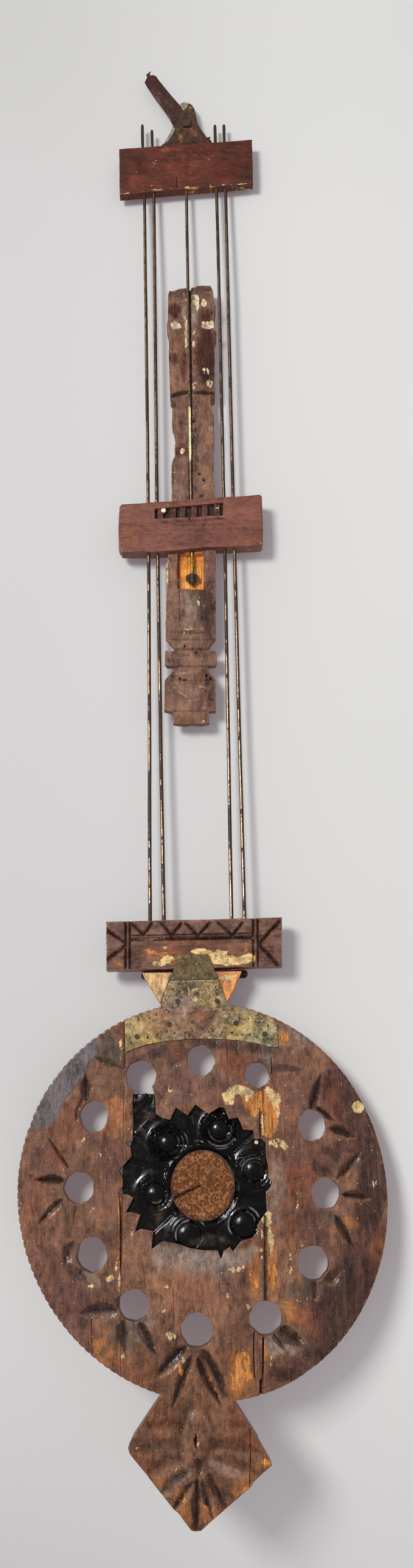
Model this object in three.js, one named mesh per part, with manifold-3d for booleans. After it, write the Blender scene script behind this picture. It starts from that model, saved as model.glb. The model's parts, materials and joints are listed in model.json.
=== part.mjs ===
// A wooden clock pendulum: hanger, false gridiron of brass wires, carved baluster and pierced wooden bob.
// Millimetres, +Z up, the front faces -Y. The origin is the rivet on which the suspension arm turns.
import * as THREE from "three";
import { mergeVertices } from "three/addons/utils/BufferGeometryUtils.js";
import Module from "manifold-3d";

const wasm = await Module();
wasm.setup();

// Clearances, shared by all pieces
const gap = 0.3;
const runningGap = 0.25;
const overrun = 2;
const weld = 0.0005;
const boreSides = 24;

// Heights, counted from the pivot
const pivotToTopBar = 24.5;
const pivotToMiddleBar = 387.4;
const pivotToBottomBar = 732.3;

// Bars
const topBar = { width: 119, height: 49, depth: 9, offset: -0.4, leanDegrees: 4.5, corner: 0.8 };
const middleBar = { width: 116, height: 44.8, depth: 12, offset: -1.6, leanDegrees: 2.8, corner: 3 };
const bottomBar = { width: 127, height: 35.3, depth: 12.2, offset: -3.6, leanDegrees: 0.4, corner: 0.6 };

// Wires
const wireRadius = 1.25;
const wireSides = 12;
const wireSteps = 16;
const wireSeatDepth = 22;
const wireShares = {
  left_outer_rod: { top: -0.645, middle: -0.595, bottom: -0.509 },
  left_inner_rod: { top: -0.499, middle: -0.469, bottom: -0.346 },
  right_inner_rod: { top: 0.444, middle: 0.469, bottom: 0.428 },
  right_outer_rod: { top: 0.58, middle: 0.602, bottom: 0.581 },
};
const wireStubs = { left_outer_rod: 29, left_inner_rod: 21.5, right_inner_rod: 24, right_outer_rod: 24 };
const centreWireOffset = -1;
const centreWireSeat = 22;
const threadRadius = 0.8;
const threadLength = 40;
const threadEndBelowBar = 31;

// Bracket and suspension arm
const cheekThickness = 1.2;
const cheekHalfWidth = 11.3;
const cheekTopRadius = 9.4;
const cheekHeight = 29.8;
const cheekFootSpan = 25;
const cheekTailHalfWidth = 17;
const cheekTailDepth = 20;
const armThickness = 1.2;
const armWidth = 13;
const armLength = 71;
const armLeanDegrees = 27.5;
const rivetRadius = 2;
const rivetHeadWidth = 7;
const rivetHeadHeight = 2;
const bracketPinRadius = 1.1;
const bracketPinSpacing = 22;

// Slot in the middle bar, with its comb
const slotWidth = 55.2;
const slotHeight = 10;
const slotBelowTop = 7.2;
const slotOffset = -1.2;
const combTeeth = 6;
const combToothShare = 0.5;
const combBackThickness = 1.1;
const slotPinRadius = 1.3;

// Baluster
const balusterLength = 402;
const balusterWidth = 40;
const balusterDepth = 16;
const balusterFront = -1.5;
const balusterTopBelowPivot = 176.8;
const balusterTopOffset = 1.7;
const balusterLeanDegrees = 0.82;
const grooveHalfWidth = 1.9;
const pocketWidth = 18.3;
const pocketHeight = 33.5;
const pocketDepth = 8;
const shoulderHeight = 7;

// Rating nut and the sleeve above it
const nutBelowBar = 20.3;
const nutHeight = 8.6;
const nutHubRadius = 2.7;
const wingSpan = 10.6;
const wingHeight = 6.2;
const wingThickness = 1.3;
const sleeveRadius = 1.4;
const threadGap = 0.2;

// Strap that holds the baluster to the middle bar
const strapThickness = 1.2;
const strapHeight = 12;
const strapFoot = 11;

// Bob
const bobRadius = 127;
const bobOval = 2.2;
const bobOvalDegrees = -63;
const bobFront = -7;
const bobThickness = 12;
const bobSegments = 120;
const boardGap = 0.4;
const leftSeam = { topShare: -0.426, bottomShare: -0.372 };
const rightSeam = { topShare: 0.335, bottomShare: 0.335 };
const neckLength = 22.4;
const neckTopWidth = 71;
const neckBottomWidth = 46.5;
const neckTopOffset = -5.7;
const neckBottomOffset = -4.7;
const neckGap = 2.8;
const tenonWidth = 24;
const tenonThickness = 5;
const tenonLength = 20;

// Pierced holes, each as an angle, a share of the ring's radius and a share of the usual bore
const holeRingShare = 0.681;
const holeRadiusShare = 0.0827;
const holeSegments = 32;
const holeShares = [
  [90.3, 1.0, 0.97], [62.8, 0.985, 0.83], [28.7, 1.0, 0.97], [-2.5, 0.97, 0.95],
  [-33.0, 1.0, 1.02], [-63.7, 1.04, 1.03], [-93.9, 1.01, 1.02], [-123.5, 0.99, 0.96],
  [-152.4, 0.985, 1.0], [177.8, 0.98, 0.98], [146.6, 1.04, 0.97], [119.5, 1.01, 1.02],
];

// Rosette in the middle of the bob
const rosetteRiseShare = 0.0614;
const rosetteOffset = -0.5;
const openingRadiusShare = 0.386;
const openingTeeth = 22;
const toothShares = [0.9, 0.94, 0.89, 0.96, 0.9, 0.92];
const ringBodyShare = 0.3354;
const ringFlangeShare = 0.433;
const ringFlangeThickness = 3;
const ringRecess = 2.2;
const ringSegments = 60;
const bossCount = 6;
const bossStartDegrees = 13;
const bossCircleShare = 0.8;
const bossRadiusShare = 0.06;
const bossRise = 3.4;
const plugRadiusShare = 0.1756;
const plugDropShare = 0.0283;
const plugSeatDepth = 6.5;
const plugDome = 0.8;

// Pointed finial below the bob
const finialHeight = 77;
const finialOffset = -8.5;
const finialLeft = { out: 51.3, down: 29 };
const finialRight = { out: 41, down: 41 };
const finialJoin = { left: 29, right: 17.5 };
const finialCorner = 5;

// Battens, dowel, plates and nails
const battenHeight = 9;
const battenThickness = 9;
const battenLength = 124;
const upperBattenShare = 0.4827;
const lowerBattenShare = -0.3992;
const nailSink = 0.1;
const dowelRadius = 4.5;
const dowelLength = 81;
const dowelOffset = -2.4;
const dowelBelowBar = 3.9;
const plateThickness = 0.6;
const upperPlate = { topWidth: 21.4, bottomWidth: 34.3, onBar: 9.6, offset: -4.4 };
const lowerPlate = { waistWidth: 36, span: 107.2, rimMargin: 2, arch: 7.5, band: 25 };
const nailRadius = 0.8;
const nailHeadRadius = 1.8;
const nailHeadHeight = 0.7;
const nailSides = 12;
const plateNailLength = 6;
const battenNailBite = 8;
const strapNailBite = 4;
const dowelNailBite = 7;
const ringNailBite = 6;

// Materials, with the colours of the aged surfaces
const woodRed = new THREE.MeshStandardMaterial({ color: 0x6e3a2c, roughness: 0.6, metalness: 0 });
const woodDark = new THREE.MeshStandardMaterial({ color: 0x5e3e32, roughness: 0.45, metalness: 0 });
const woodBare = new THREE.MeshStandardMaterial({ color: 0x78583f, roughness: 0.8, metalness: 0 });
const brassDark = new THREE.MeshStandardMaterial({ color: 0x4a382a, roughness: 0.4, metalness: 0.8 });
const brassOlive = new THREE.MeshStandardMaterial({ color: 0x786a4b, roughness: 0.55, metalness: 0.6 });
const brassBright = new THREE.MeshStandardMaterial({ color: 0xb7984e, roughness: 0.35, metalness: 0.9 });
const iron = new THREE.MeshStandardMaterial({ color: 0x40302b, roughness: 0.6, metalness: 0.7 });
const blackGloss = new THREE.MeshStandardMaterial({ color: 0x15130f, roughness: 0.2, metalness: 0 });
const cork = new THREE.MeshStandardMaterial({ color: 0x8a5630, roughness: 0.85, metalness: 0 });
const bone = new THREE.MeshStandardMaterial({ color: 0xefe6d2, roughness: 0.5, metalness: 0 });

// Solids from geometry and back
function solidOf(geometry) {
  const bare = new THREE.BufferGeometry().setAttribute("position", geometry.getAttribute("position"));
  if (geometry.index) bare.setIndex(geometry.index);
  const merged = mergeVertices(bare, weld);
  const mesh = new wasm.Mesh({
    numProp: 3,
    vertProperties: merged.attributes.position.array,
    triVerts: new Uint32Array(merged.index.array),
  });
  return new wasm.Manifold(mesh);
}

function geometryOf(solid) {
  const { vertProperties, triVerts } = solid.getMesh();
  const indexed = new THREE.BufferGeometry();
  indexed.setAttribute("position", new THREE.BufferAttribute(new Float32Array(vertProperties), 3));
  indexed.setIndex(new THREE.BufferAttribute(new Uint32Array(triVerts), 1));
  const geometry = indexed.toNonIndexed();
  geometry.computeVertexNormals();
  return geometry;
}

const pendulum = new THREE.Group();

function add(name, shape, material) {
  const geometry = shape.isBufferGeometry ? shape : geometryOf(shape);
  const mesh = new THREE.Mesh(geometry, material);
  mesh.name = name;
  pendulum.add(mesh);
  return mesh;
}

const degrees = THREE.MathUtils.degToRad;

// A flat outline in X and Z, made thick between two places on Y
function slab(shape, front, back, curveSegments = 12) {
  const options = { depth: back - front, bevelEnabled: false, curveSegments };
  return new THREE.ExtrudeGeometry(shape, options).rotateX(Math.PI / 2).translate(0, back, 0);
}

function block(left, right, front, back, bottom, top) {
  return new THREE.BoxGeometry(right - left, back - front, top - bottom).translate(
    (left + right) / 2,
    (front + back) / 2,
    (bottom + top) / 2,
  );
}

// A round piece about the Y axis, from a profile that runs from its front to its back
function turned(profile, sides) {
  const points = profile.map(([radius, along]) => new THREE.Vector2(radius, along));
  return new THREE.LatheGeometry(points, sides);
}

function round(radius, front, back, sides) {
  return turned([[0, front], [radius, front], [radius, back], [0, back]], sides);
}

function outline(points) {
  return new THREE.Shape(points.map(([x, z]) => new THREE.Vector2(x, z)));
}

// A straight-sided outline with round corners
function softOutline(points, radius) {
  const shape = new THREE.Shape();
  points.forEach(([x, z], i) => {
    const corner = new THREE.Vector2(x, z);
    const before = new THREE.Vector2(...points.at(i - 1)).sub(corner);
    const after = new THREE.Vector2(...points[(i + 1) % points.length]).sub(corner);
    const start = corner.clone().add(before.setLength(Math.min(radius, before.length() / 2)));
    const end = corner.clone().add(after.setLength(Math.min(radius, after.length() / 2)));
    if (i === 0) shape.moveTo(start.x, start.y);
    else shape.lineTo(start.x, start.y);
    shape.quadraticCurveTo(corner.x, corner.y, end.x, end.y);
  });
  shape.closePath();
  return shape;
}

// Bars: a leaning board, its middle height and the height of its lower edge at a place on X
function barMiddle(bar, pivotToBar) {
  return -pivotToBar - bar.height / 2;
}

function barBlank(bar, pivotToBar, front, back) {
  const half = bar.width / 2;
  const tall = bar.height / 2;
  const shape = softOutline([[-half, -tall], [half, -tall], [half, tall], [-half, tall]], bar.corner);
  return slab(shape, front, back, 4)
    .rotateY(-degrees(bar.leanDegrees))
    .translate(bar.offset, 0, barMiddle(bar, pivotToBar));
}

// A box that leans with its bar, placed from the bar's middle
function inBar(bar, pivotToBar, left, right, front, back, bottom, top) {
  return block(left, right, front, back, bottom, top)
    .rotateY(-degrees(bar.leanDegrees))
    .translate(bar.offset, 0, barMiddle(bar, pivotToBar));
}

// Wires, which run through the bars
function wirePoint(share, bar, height) {
  return new THREE.Vector3(bar.offset + (share * bar.width) / 2, 0, height);
}

function wireCurve(name) {
  const shares = wireShares[name];
  const top = barMiddle(topBar, pivotToTopBar);
  const middle = barMiddle(middleBar, pivotToMiddleBar);
  const bottom = -pivotToBottomBar - wireSeatDepth;
  return new THREE.CatmullRomCurve3([
    wirePoint(shares.top, topBar, -pivotToTopBar + wireStubs[name]),
    wirePoint(shares.top, topBar, top),
    wirePoint(shares.middle, middleBar, middle),
    wirePoint(shares.bottom, bottomBar, bottom),
  ]);
}

function alongWire(curve, radius) {
  const section = new THREE.Shape();
  section.absarc(0, 0, radius, 0, 2 * Math.PI);
  const options = { steps: wireSteps, bevelEnabled: false, extrudePath: curve, curveSegments: wireSides / 2 };
  return new THREE.ExtrudeGeometry(section, options);
}

const wireNames = Object.keys(wireShares);
const wireCurves = Object.fromEntries(wireNames.map((name) => [name, wireCurve(name)]));

function boreForWires(solid) {
  return wireNames.reduce((rest, name) => {
    const points = wireCurves[name].points.map((point) => point.clone());
    points[0].z += overrun;
    points.at(-1).z -= gap;
    const bore = new THREE.CatmullRomCurve3(points);
    return rest.subtract(solidOf(alongWire(bore, wireRadius + runningGap)));
  }, solid);
}

// Nails: a round head and a shank that points to the back, or to the front with facing -1
function nailShape(length, facing, spare = 0) {
  const shank = nailRadius + spare;
  const head = nailHeadRadius + spare;
  const geometry = turned(
    [[0, -nailHeadHeight - spare], [head, -nailHeadHeight - spare], [head, spare], [shank, spare],
      [shank, length + spare], [0, length + spare]],
    nailSides,
  );
  return facing > 0 ? geometry : geometry.rotateZ(Math.PI);
}

function nailAt(name, place, length, facing, material) {
  const [x, y, z] = place;
  add(name, nailShape(length, facing), material).position.set(x, y, z);
}

function nailHole(solid, place, length, facing) {
  return solid.subtract(solidOf(nailShape(length, facing, gap).translate(...place)));
}

// Bracket: two cheeks in a slot of the top bar
const slotHalfDepth = armThickness / 2 + 2 * gap + cheekThickness;
const cheekBottom = -pivotToTopBar - cheekTailDepth;

function cheekOutline() {
  const shoulder = cheekHeight - cheekTopRadius;
  const tail = cheekTailHalfWidth;
  const shape = new THREE.Shape();
  shape.moveTo(-tail, cheekBottom);
  shape.lineTo(tail, cheekBottom);
  shape.lineTo(tail, -pivotToTopBar + gap);
  shape.lineTo(cheekFootSpan * 0.8, -pivotToTopBar + 2 * cheekThickness);
  shape.lineTo(cheekFootSpan * 0.87, -pivotToTopBar * 0.57);
  shape.quadraticCurveTo(cheekHalfWidth * 1.15, -pivotToTopBar * 0.3, cheekHalfWidth, 0);
  shape.lineTo(cheekTopRadius, shoulder);
  shape.absarc(0, shoulder, cheekTopRadius, 0, Math.PI);
  shape.lineTo(-cheekHalfWidth, 0);
  shape.quadraticCurveTo(-cheekHalfWidth * 1.2, -pivotToTopBar * 0.6, -cheekFootSpan, -pivotToTopBar);
  shape.lineTo(-tail, -pivotToTopBar);
  shape.closePath();
  return shape;
}

const bracketPins = [-1, 1].map((side) => [(side * bracketPinSpacing) / 2, cheekBottom + cheekTailDepth / 3]);

function cheek(front) {
  let plate = solidOf(slab(cheekOutline(), front, front + cheekThickness, 8));
  const bore = round(rivetRadius + gap, front - overrun, front + cheekThickness + overrun, boreSides);
  plate = plate.subtract(solidOf(bore));
  for (const [x, z] of bracketPins) {
    const hole = round(bracketPinRadius + gap, front - overrun, front + cheekThickness + overrun, 16);
    plate = plate.subtract(solidOf(hole.translate(x, 0, z)));
  }
  return plate;
}

const frontCheekPlace = -armThickness / 2 - gap - cheekThickness;
const rearCheekPlace = armThickness / 2 + gap;
const breakLine = outline([
  [-cheekHalfWidth * 1.9, cheekHalfWidth * 0.08],
  [-cheekHalfWidth * 0.35, cheekHeight * 0.63],
  [-cheekHalfWidth * 0.25, cheekHeight * 1.2],
  [-cheekHalfWidth * 1.9, cheekHeight * 1.2],
]);
const brokenCorner = slab(breakLine, frontCheekPlace - overrun, frontCheekPlace + cheekThickness + overrun);
add("bracket_front_cheek", cheek(frontCheekPlace).subtract(solidOf(brokenCorner)), brassOlive);
add("bracket_rear_cheek", cheek(rearCheekPlace), brassOlive);

// Suspension arm, with its torn upper end
function armOutline() {
  const half = armWidth / 2;
  const shape = new THREE.Shape();
  shape.moveTo(half, 0);
  shape.lineTo(half, armLength * 0.86);
  shape.lineTo(half * 0.5, armLength * 0.94);
  shape.lineTo(-half * 0.2, armLength * 0.955);
  shape.lineTo(-half * 0.25, armLength);
  shape.lineTo(-half * 0.6, armLength * 0.97);
  shape.lineTo(-half * 0.75, armLength * 0.92);
  shape.lineTo(-half, armLength * 0.87);
  shape.lineTo(-half, 0);
  shape.absarc(0, 0, half, Math.PI, 2 * Math.PI);
  shape.closePath();
  return shape;
}

const armBore = round(rivetRadius + runningGap, -armThickness - overrun, armThickness + overrun, boreSides);
const armBlank = solidOf(slab(armOutline(), -armThickness / 2, armThickness / 2));
const arm = add("suspension_arm", armBlank.subtract(solidOf(armBore)), iron);
arm.rotation.y = -degrees(armLeanDegrees);

// Rivet with a square head at the front and a round head behind
const cheekStackHalf = armThickness / 2 + gap + cheekThickness;
const rivetSeat = cheekStackHalf + gap;
const rivetHead = block(
  -rivetHeadWidth / 2, rivetHeadWidth / 2,
  -rivetSeat - rivetHeadHeight, -rivetSeat,
  -rivetHeadWidth / 2, rivetHeadWidth / 2,
);
const rivetShank = turned(
  [[0, -rivetSeat - rivetHeadHeight / 2], [rivetRadius, -rivetSeat - rivetHeadHeight / 2],
    [rivetRadius, rivetSeat], [rivetRadius * 1.8, rivetSeat],
    [rivetRadius * 1.4, rivetSeat + rivetHeadHeight / 2], [0, rivetSeat + rivetHeadHeight / 2]],
  boreSides,
);
add("bracket_rivet", solidOf(rivetHead).add(solidOf(rivetShank)), brassOlive);

bracketPins.forEach(([x, z], i) => {
  const pin = round(bracketPinRadius, -topBar.depth / 2, topBar.depth / 2, 16);
  add("bracket_pin_" + ["left", "right"][i], pin, iron).position.set(x, 0, z);
});

// Top bar: slot for the cheeks, bores for the wires and a blind bore for the centre wire
const centreWireTop = -pivotToTopBar - topBar.height + centreWireSeat;
const halfLean = (cheekTailHalfWidth + cheekFootSpan) * Math.sin(degrees(topBar.leanDegrees));
let topBlank = solidOf(barBlank(topBar, pivotToTopBar, -topBar.depth / 2, topBar.depth / 2));
topBlank = topBlank.subtract(
  solidOf(
    block(
      -cheekTailHalfWidth - gap, cheekTailHalfWidth + gap,
      -slotHalfDepth, slotHalfDepth,
      cheekBottom - gap, -pivotToTopBar + halfLean + overrun,
    ),
  ),
);
const footRoom = block(
  -cheekFootSpan - gap, cheekFootSpan + gap,
  -slotHalfDepth, slotHalfDepth,
  -pivotToTopBar - gap, -pivotToTopBar + halfLean + overrun,
);
topBlank = boreForWires(topBlank.subtract(solidOf(footRoom)));
for (const [x, z] of bracketPins) {
  const hole = round(bracketPinRadius + gap, -topBar.depth, topBar.depth, 16).translate(x, 0, z);
  topBlank = topBlank.subtract(solidOf(hole));
}

// Centre wire, thinner along its threaded end
const middleBarBottom = -pivotToMiddleBar - middleBar.height;
const threadEnd = middleBarBottom - threadEndBelowBar;
const threadTop = threadEnd + threadLength;

function upright(profile, sides) {
  return turned(profile, sides).rotateX(Math.PI / 2);
}

function centreWire(spare) {
  return upright(
    [[0, threadEnd], [threadRadius + spare, threadEnd], [threadRadius + spare, threadTop],
      [wireRadius + spare, threadTop + threadRadius], [wireRadius + spare, centreWireTop + spare],
      [0, centreWireTop + spare]],
    wireSides,
  ).translate(centreWireOffset, 0, 0);
}

add("top_bar", topBlank.subtract(solidOf(centreWire(gap))), woodRed);
add("centre_rod", centreWire(0), brassDark);
for (const name of wireNames) add(name, alongWire(wireCurves[name], wireRadius), brassDark);

// Baluster: the front outline and the side outline cut from one board, in its own leaning frame
const balusterShares = [
  // share of the length, left edge and right edge as shares of half the width
  [0.008, -0.97, 0], [-0.003, 0, 0.97], [0.02, 0, 1.0], [0.12, 0, 1.0], [0.266, 0, 0.97],
  [0.275, 0, 0.79], [0.29, 0, 0.79], [0.3, 0, 0.93], [0.43, 0, 0.94], [0.535, 0, 0.96], [0.545, 0, 1.0],
  [0.822, 0, 1.0], [0.846, 0, 0.67], [0.85, 0, 0.67], [0.852, 0, 1.0], [0.881, 0, 1.0],
  [0.884, 0, 0.69], [0.887, 0, 0.69], [0.912, 0, 0.96], [0.973, 0, 0.96], [0.976, 0, 0.72], [1.0, 0, 0.72],
  [0.992, -0.7, 0], [0.974, -0.7, 0], [0.972, -1.0, 0], [0.912, -1.0, 0], [0.887, -0.69, 0],
  [0.884, -0.69, 0], [0.881, -1.02, 0], [0.852, -1.02, 0], [0.85, -0.65, 0], [0.846, -0.65, 0],
  [0.822, -0.97, 0], [0.545, -0.99, 0], [0.535, -0.83, 0], [0.46, -0.82, 0], [0.44, -0.68, 0],
  [0.4, -0.64, 0], [0.34, -0.66, 0], [0.3, -0.78, 0], [0.293, -0.66, 0], [0.28, -0.77, 0],
  [0.273, -0.86, 0], [0.2, -0.93, 0], [0.1, -0.98, 0],
];
const balusterFrontShares = [
  // share of the length and share of the depth that is cut away at the front
  [-0.01, 0], [0.268, 0], [0.28, 0.12], [0.44, 0.1], [0.455, 0], [0.822, 0], [0.848, 0.16], [0.852, 0],
  [0.881, 0], [0.886, 0.16], [0.912, 0], [0.973, 0], [0.976, 0.16], [1.01, 0.16],
];

const balusterPlace = (geometry) =>
  geometry.rotateY(degrees(balusterLeanDegrees)).translate(balusterTopOffset, 0, -balusterTopBelowPivot);

function baluster() {
  const half = balusterWidth / 2;
  const back = balusterFront + balusterDepth;
  const frontPoints = balusterShares.map(([down, left, right]) => [
    (left + right) * half,
    -down * balusterLength,
  ]);
  const sidePoints = balusterFrontShares.map(([down, cut]) => [
    balusterFront + cut * balusterDepth,
    -down * balusterLength,
  ]);
  sidePoints.push([back, -1.01 * balusterLength], [back, 0.01 * balusterLength]);
  const side = new THREE.ExtrudeGeometry(outline(sidePoints), { depth: 2.2 * half, bevelEnabled: false })
    .rotateX(Math.PI / 2)
    .rotateZ(Math.PI / 2)
    .translate(-1.1 * half, 0, 0);
  const front = slab(outline(frontPoints), balusterFront - overrun, back + overrun);
  const body = solidOf(balusterPlace(front));
  return body.intersect(solidOf(balusterPlace(side)));
}

const shoulderTop = middleBarBottom + shoulderHeight;
const pocketTop = middleBarBottom - gap;
const pocketBottom = middleBarBottom - pocketHeight;
const grooveTop = -balusterTopBelowPivot + balusterLength * 0.02 + overrun;
const grooveFront = balusterFront - overrun;

function channel(halfWidth, bottom, top) {
  const floor = round(halfWidth, bottom, top, wireSides).rotateX(Math.PI / 2);
  const open = block(-halfWidth, halfWidth, grooveFront, 0, bottom, top);
  return solidOf(floor).add(solidOf(open)).translate([centreWireOffset, 0, 0]);
}

let balusterSolid = baluster()
  .subtract(channel(grooveHalfWidth, shoulderTop, grooveTop))
  .subtract(channel(threadRadius + threadGap, pocketBottom, shoulderTop + overrun))
  .subtract(channel(grooveHalfWidth, threadEnd - 2 * overrun, pocketBottom + overrun));
balusterSolid = balusterSolid.subtract(
  solidOf(
    block(
      centreWireOffset - pocketWidth / 2, centreWireOffset + pocketWidth / 2,
      grooveFront, balusterFront + pocketDepth,
      pocketBottom, pocketTop,
    ),
  ),
);
add("baluster", balusterSolid, woodBare);

// Middle bar: housing for the baluster in its back, and the slot with its comb in its front
const middleFront = -middleBar.depth / 2;
const middleBack = middleBar.depth / 2;
const housingFront = balusterFront - gap;
const middleHalfHeight = middleBar.height / 2;
const slotTop = middleHalfHeight - slotBelowTop;
const housingHalf = balusterWidth * 0.51 + gap;
const housing = balusterPlace(
  block(-housingHalf, housingHalf, housingFront, middleBack + overrun, -balusterLength, 0),
);
let middleSolid = solidOf(barBlank(middleBar, pivotToMiddleBar, middleFront, middleBack));
middleSolid = middleSolid.subtract(solidOf(housing)).subtract(
  solidOf(
    inBar(
      middleBar, pivotToMiddleBar,
      slotOffset - slotWidth / 2, slotOffset + slotWidth / 2,
      middleFront - overrun, housingFront - gap - combBackThickness,
      slotTop - slotHeight, slotTop,
    ),
  ),
);
middleSolid = boreForWires(middleSolid);

const combPitch = (slotWidth - 2 * gap) / combTeeth;
const combBack = housingFront - 2 * gap - combBackThickness;
const combFront = middleFront + gap;
let comb = solidOf(
  inBar(
    middleBar, pivotToMiddleBar,
    slotOffset - slotWidth / 2 + gap, slotOffset + slotWidth / 2 - gap,
    combBack - combBackThickness, combBack,
    slotTop - slotHeight + gap, slotTop - gap,
  ),
);
for (let i = 0; i < combTeeth; i++) {
  const centre = slotOffset - slotWidth / 2 + gap + combPitch * (i + 0.5);
  const halfTooth = (combPitch * combToothShare) / 2;
  const tooth = inBar(
    middleBar, pivotToMiddleBar,
    centre - halfTooth, centre + halfTooth,
    combFront, combBack - combBackThickness / 2,
    slotTop - slotHeight + gap, slotTop - gap,
  );
  comb = comb.add(solidOf(tooth));
}
add("slot_comb", comb, woodRed);

const firstTooth = middleBar.offset + slotOffset - slotWidth / 2 + gap + combPitch / 2;
const slotPinX = firstTooth + (combPitch * combToothShare) / 2 + slotPinRadius * 0.75;
const slotPinZ = barMiddle(middleBar, pivotToMiddleBar) + slotTop - slotHeight / 2 - combPitch / 6;
const pinLength = combBack - combBackThickness - gap - middleFront;
const slotPin = turned(
  [[0, 0], [slotPinRadius * 0.8, 0], [slotPinRadius, slotPinRadius * 0.4],
    [slotPinRadius * 0.5, slotPinRadius], [slotPinRadius * 0.5, pinLength], [0, pinLength]],
  nailSides,
);
add("slot_pin", slotPin, bone).position.set(slotPinX, middleFront, slotPinZ);

// Strap across the baluster's back, nailed to the middle bar
const balusterAxisX = balusterTopOffset
  + Math.tan(degrees(balusterLeanDegrees)) * (barMiddle(middleBar, pivotToMiddleBar) + balusterTopBelowPivot);
const strapInner = housingHalf + gap;
const strapBack = balusterFront + balusterDepth + gap;
const strapOuter = strapInner + strapThickness;
const strapFootBack = middleBack + gap + strapThickness;
const strapEnd = strapOuter + strapFoot;
const strapFront = middleBack + gap;
const strapBridge = strapBack + strapThickness;
const strapPlan = outline([
  [-strapEnd, strapFront], [-strapInner, strapFront], [-strapInner, strapBack],
  [strapInner, strapBack], [strapInner, strapFront], [strapEnd, strapFront],
  [strapEnd, strapFootBack], [strapOuter, strapFootBack], [strapOuter, strapBridge],
  [-strapOuter, strapBridge], [-strapOuter, strapFootBack], [-strapEnd, strapFootBack],
]);
const strapZ = barMiddle(middleBar, pivotToMiddleBar);
let strap = solidOf(
  new THREE.ExtrudeGeometry(strapPlan, { depth: strapHeight, bevelEnabled: false })
    .translate(balusterAxisX, 0, strapZ - strapHeight / 2),
);
["left", "right"].forEach((side, i) => {
  const x = balusterAxisX + (i ? 1 : -1) * (strapOuter + strapFoot / 2);
  const place = [x, strapFootBack + gap, strapZ];
  const length = strapThickness + 2 * gap + strapNailBite;
  strap = nailHole(strap, place, length, -1);
  middleSolid = nailHole(middleSolid, place, length, -1);
  nailAt("strap_nail_" + side, place, length, -1, iron);
});
add("baluster_strap", strap, brassOlive);
add("middle_bar", middleSolid, woodRed);

// Rating nut on the thread, and the sleeve through which it lifts the middle bar
const nutTop = middleBarBottom - nutBelowBar;
const nutBore = threadRadius + threadGap;
const nutBottom = nutTop - nutHeight;
const hub = upright(
  [[nutBore, nutBottom], [nutHubRadius * 0.6, nutBottom], [nutHubRadius, nutTop - nutHeight * 0.6],
    [nutHubRadius, nutTop], [nutBore, nutTop], [nutBore, nutBottom]],
  boreSides,
).translate(centreWireOffset, 0, 0);
const wingShape = softOutline(
  [[-wingSpan / 2, -wingHeight], [wingSpan / 2, -wingHeight], [wingSpan / 2, 0], [-wingSpan / 2, 0]],
  wingHeight * 0.4,
);
const wings = slab(wingShape, -wingThickness / 2, wingThickness / 2, 6)
  .translate(centreWireOffset, 0, nutTop);
const nutBoreCut = upright(
  [[0, nutBottom - overrun], [nutBore, nutBottom - overrun], [nutBore, nutTop + overrun],
    [0, nutTop + overrun]],
  boreSides,
).translate(centreWireOffset, 0, 0);
add("rating_nut", solidOf(hub).add(solidOf(wings)).subtract(solidOf(nutBoreCut)), iron);

const sleeve = upright(
  [[nutBore, nutTop + gap], [sleeveRadius, nutTop + gap], [sleeveRadius, pocketTop], [nutBore, pocketTop],
    [nutBore, nutTop + gap]],
  16,
);
add("rod_sleeve", sleeve.translate(centreWireOffset, 0, 0), brassBright);

// Bottom bar: mortise, wire seats and the carved grooves
const bottomFront = bobFront;
const bottomBack = bobFront + bottomBar.depth;
const bottomBarBottom = -pivotToBottomBar - bottomBar.height;
let bottomSolid = boreForWires(solidOf(barBlank(bottomBar, pivotToBottomBar, bottomFront, bottomBack)));

const carvingWidth = 2.6;
const carvingDepth = 1;
function carve(solid, bar, pivotToBar, front, from, to) {
  const [x0, z0] = from;
  const [x1, z1] = to;
  const length = Math.hypot(x1 - x0, z1 - z0);
  const half = carvingWidth / 2;
  const notch = outline([[-half, -carvingDepth], [half, -carvingDepth], [0, carvingDepth]]);
  const cutter = new THREE.ExtrudeGeometry(notch, { depth: length, bevelEnabled: false })
    .rotateY(Math.atan2(x1 - x0, z1 - z0))
    .translate(x0, front, z0)
    .rotateY(-degrees(bar.leanDegrees))
    .translate(bar.offset, 0, barMiddle(bar, pivotToBar));
  return solid.subtract(solidOf(cutter));
}
const panelShare = 0.72;
const lineShare = 0.17;
const zigzagShares = [[-0.52, -0.65, -0.4], [-0.2, -0.3, -0.05], [0.1, -0.02, 0.26], [0.5, 0.37, 0.63]];
const halfBar = bottomBar.width / 2;
const tallBar = bottomBar.height / 2;
const lines = [
  [[-halfBar * panelShare, -tallBar], [-halfBar * panelShare, tallBar]],
  [[halfBar * panelShare, -tallBar], [halfBar * panelShare, tallBar]],
  [[-halfBar * panelShare, tallBar * lineShare], [halfBar * panelShare, tallBar * lineShare]],
];
for (const [low, left, right] of zigzagShares) {
  lines.push([[left * halfBar, tallBar], [low * halfBar, tallBar * lineShare]]);
  lines.push([[right * halfBar, tallBar], [low * halfBar, tallBar * lineShare]]);
}
for (const side of [-1, 1]) {
  lines.push([[side * halfBar * panelShare, 0], [side * halfBar, tallBar]]);
  lines.push([[side * halfBar * panelShare, 0], [side * halfBar, -tallBar]]);
}
for (const [from, to] of lines) {
  bottomSolid = carve(bottomSolid, bottomBar, pivotToBottomBar, bottomFront, from, to);
}

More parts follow.
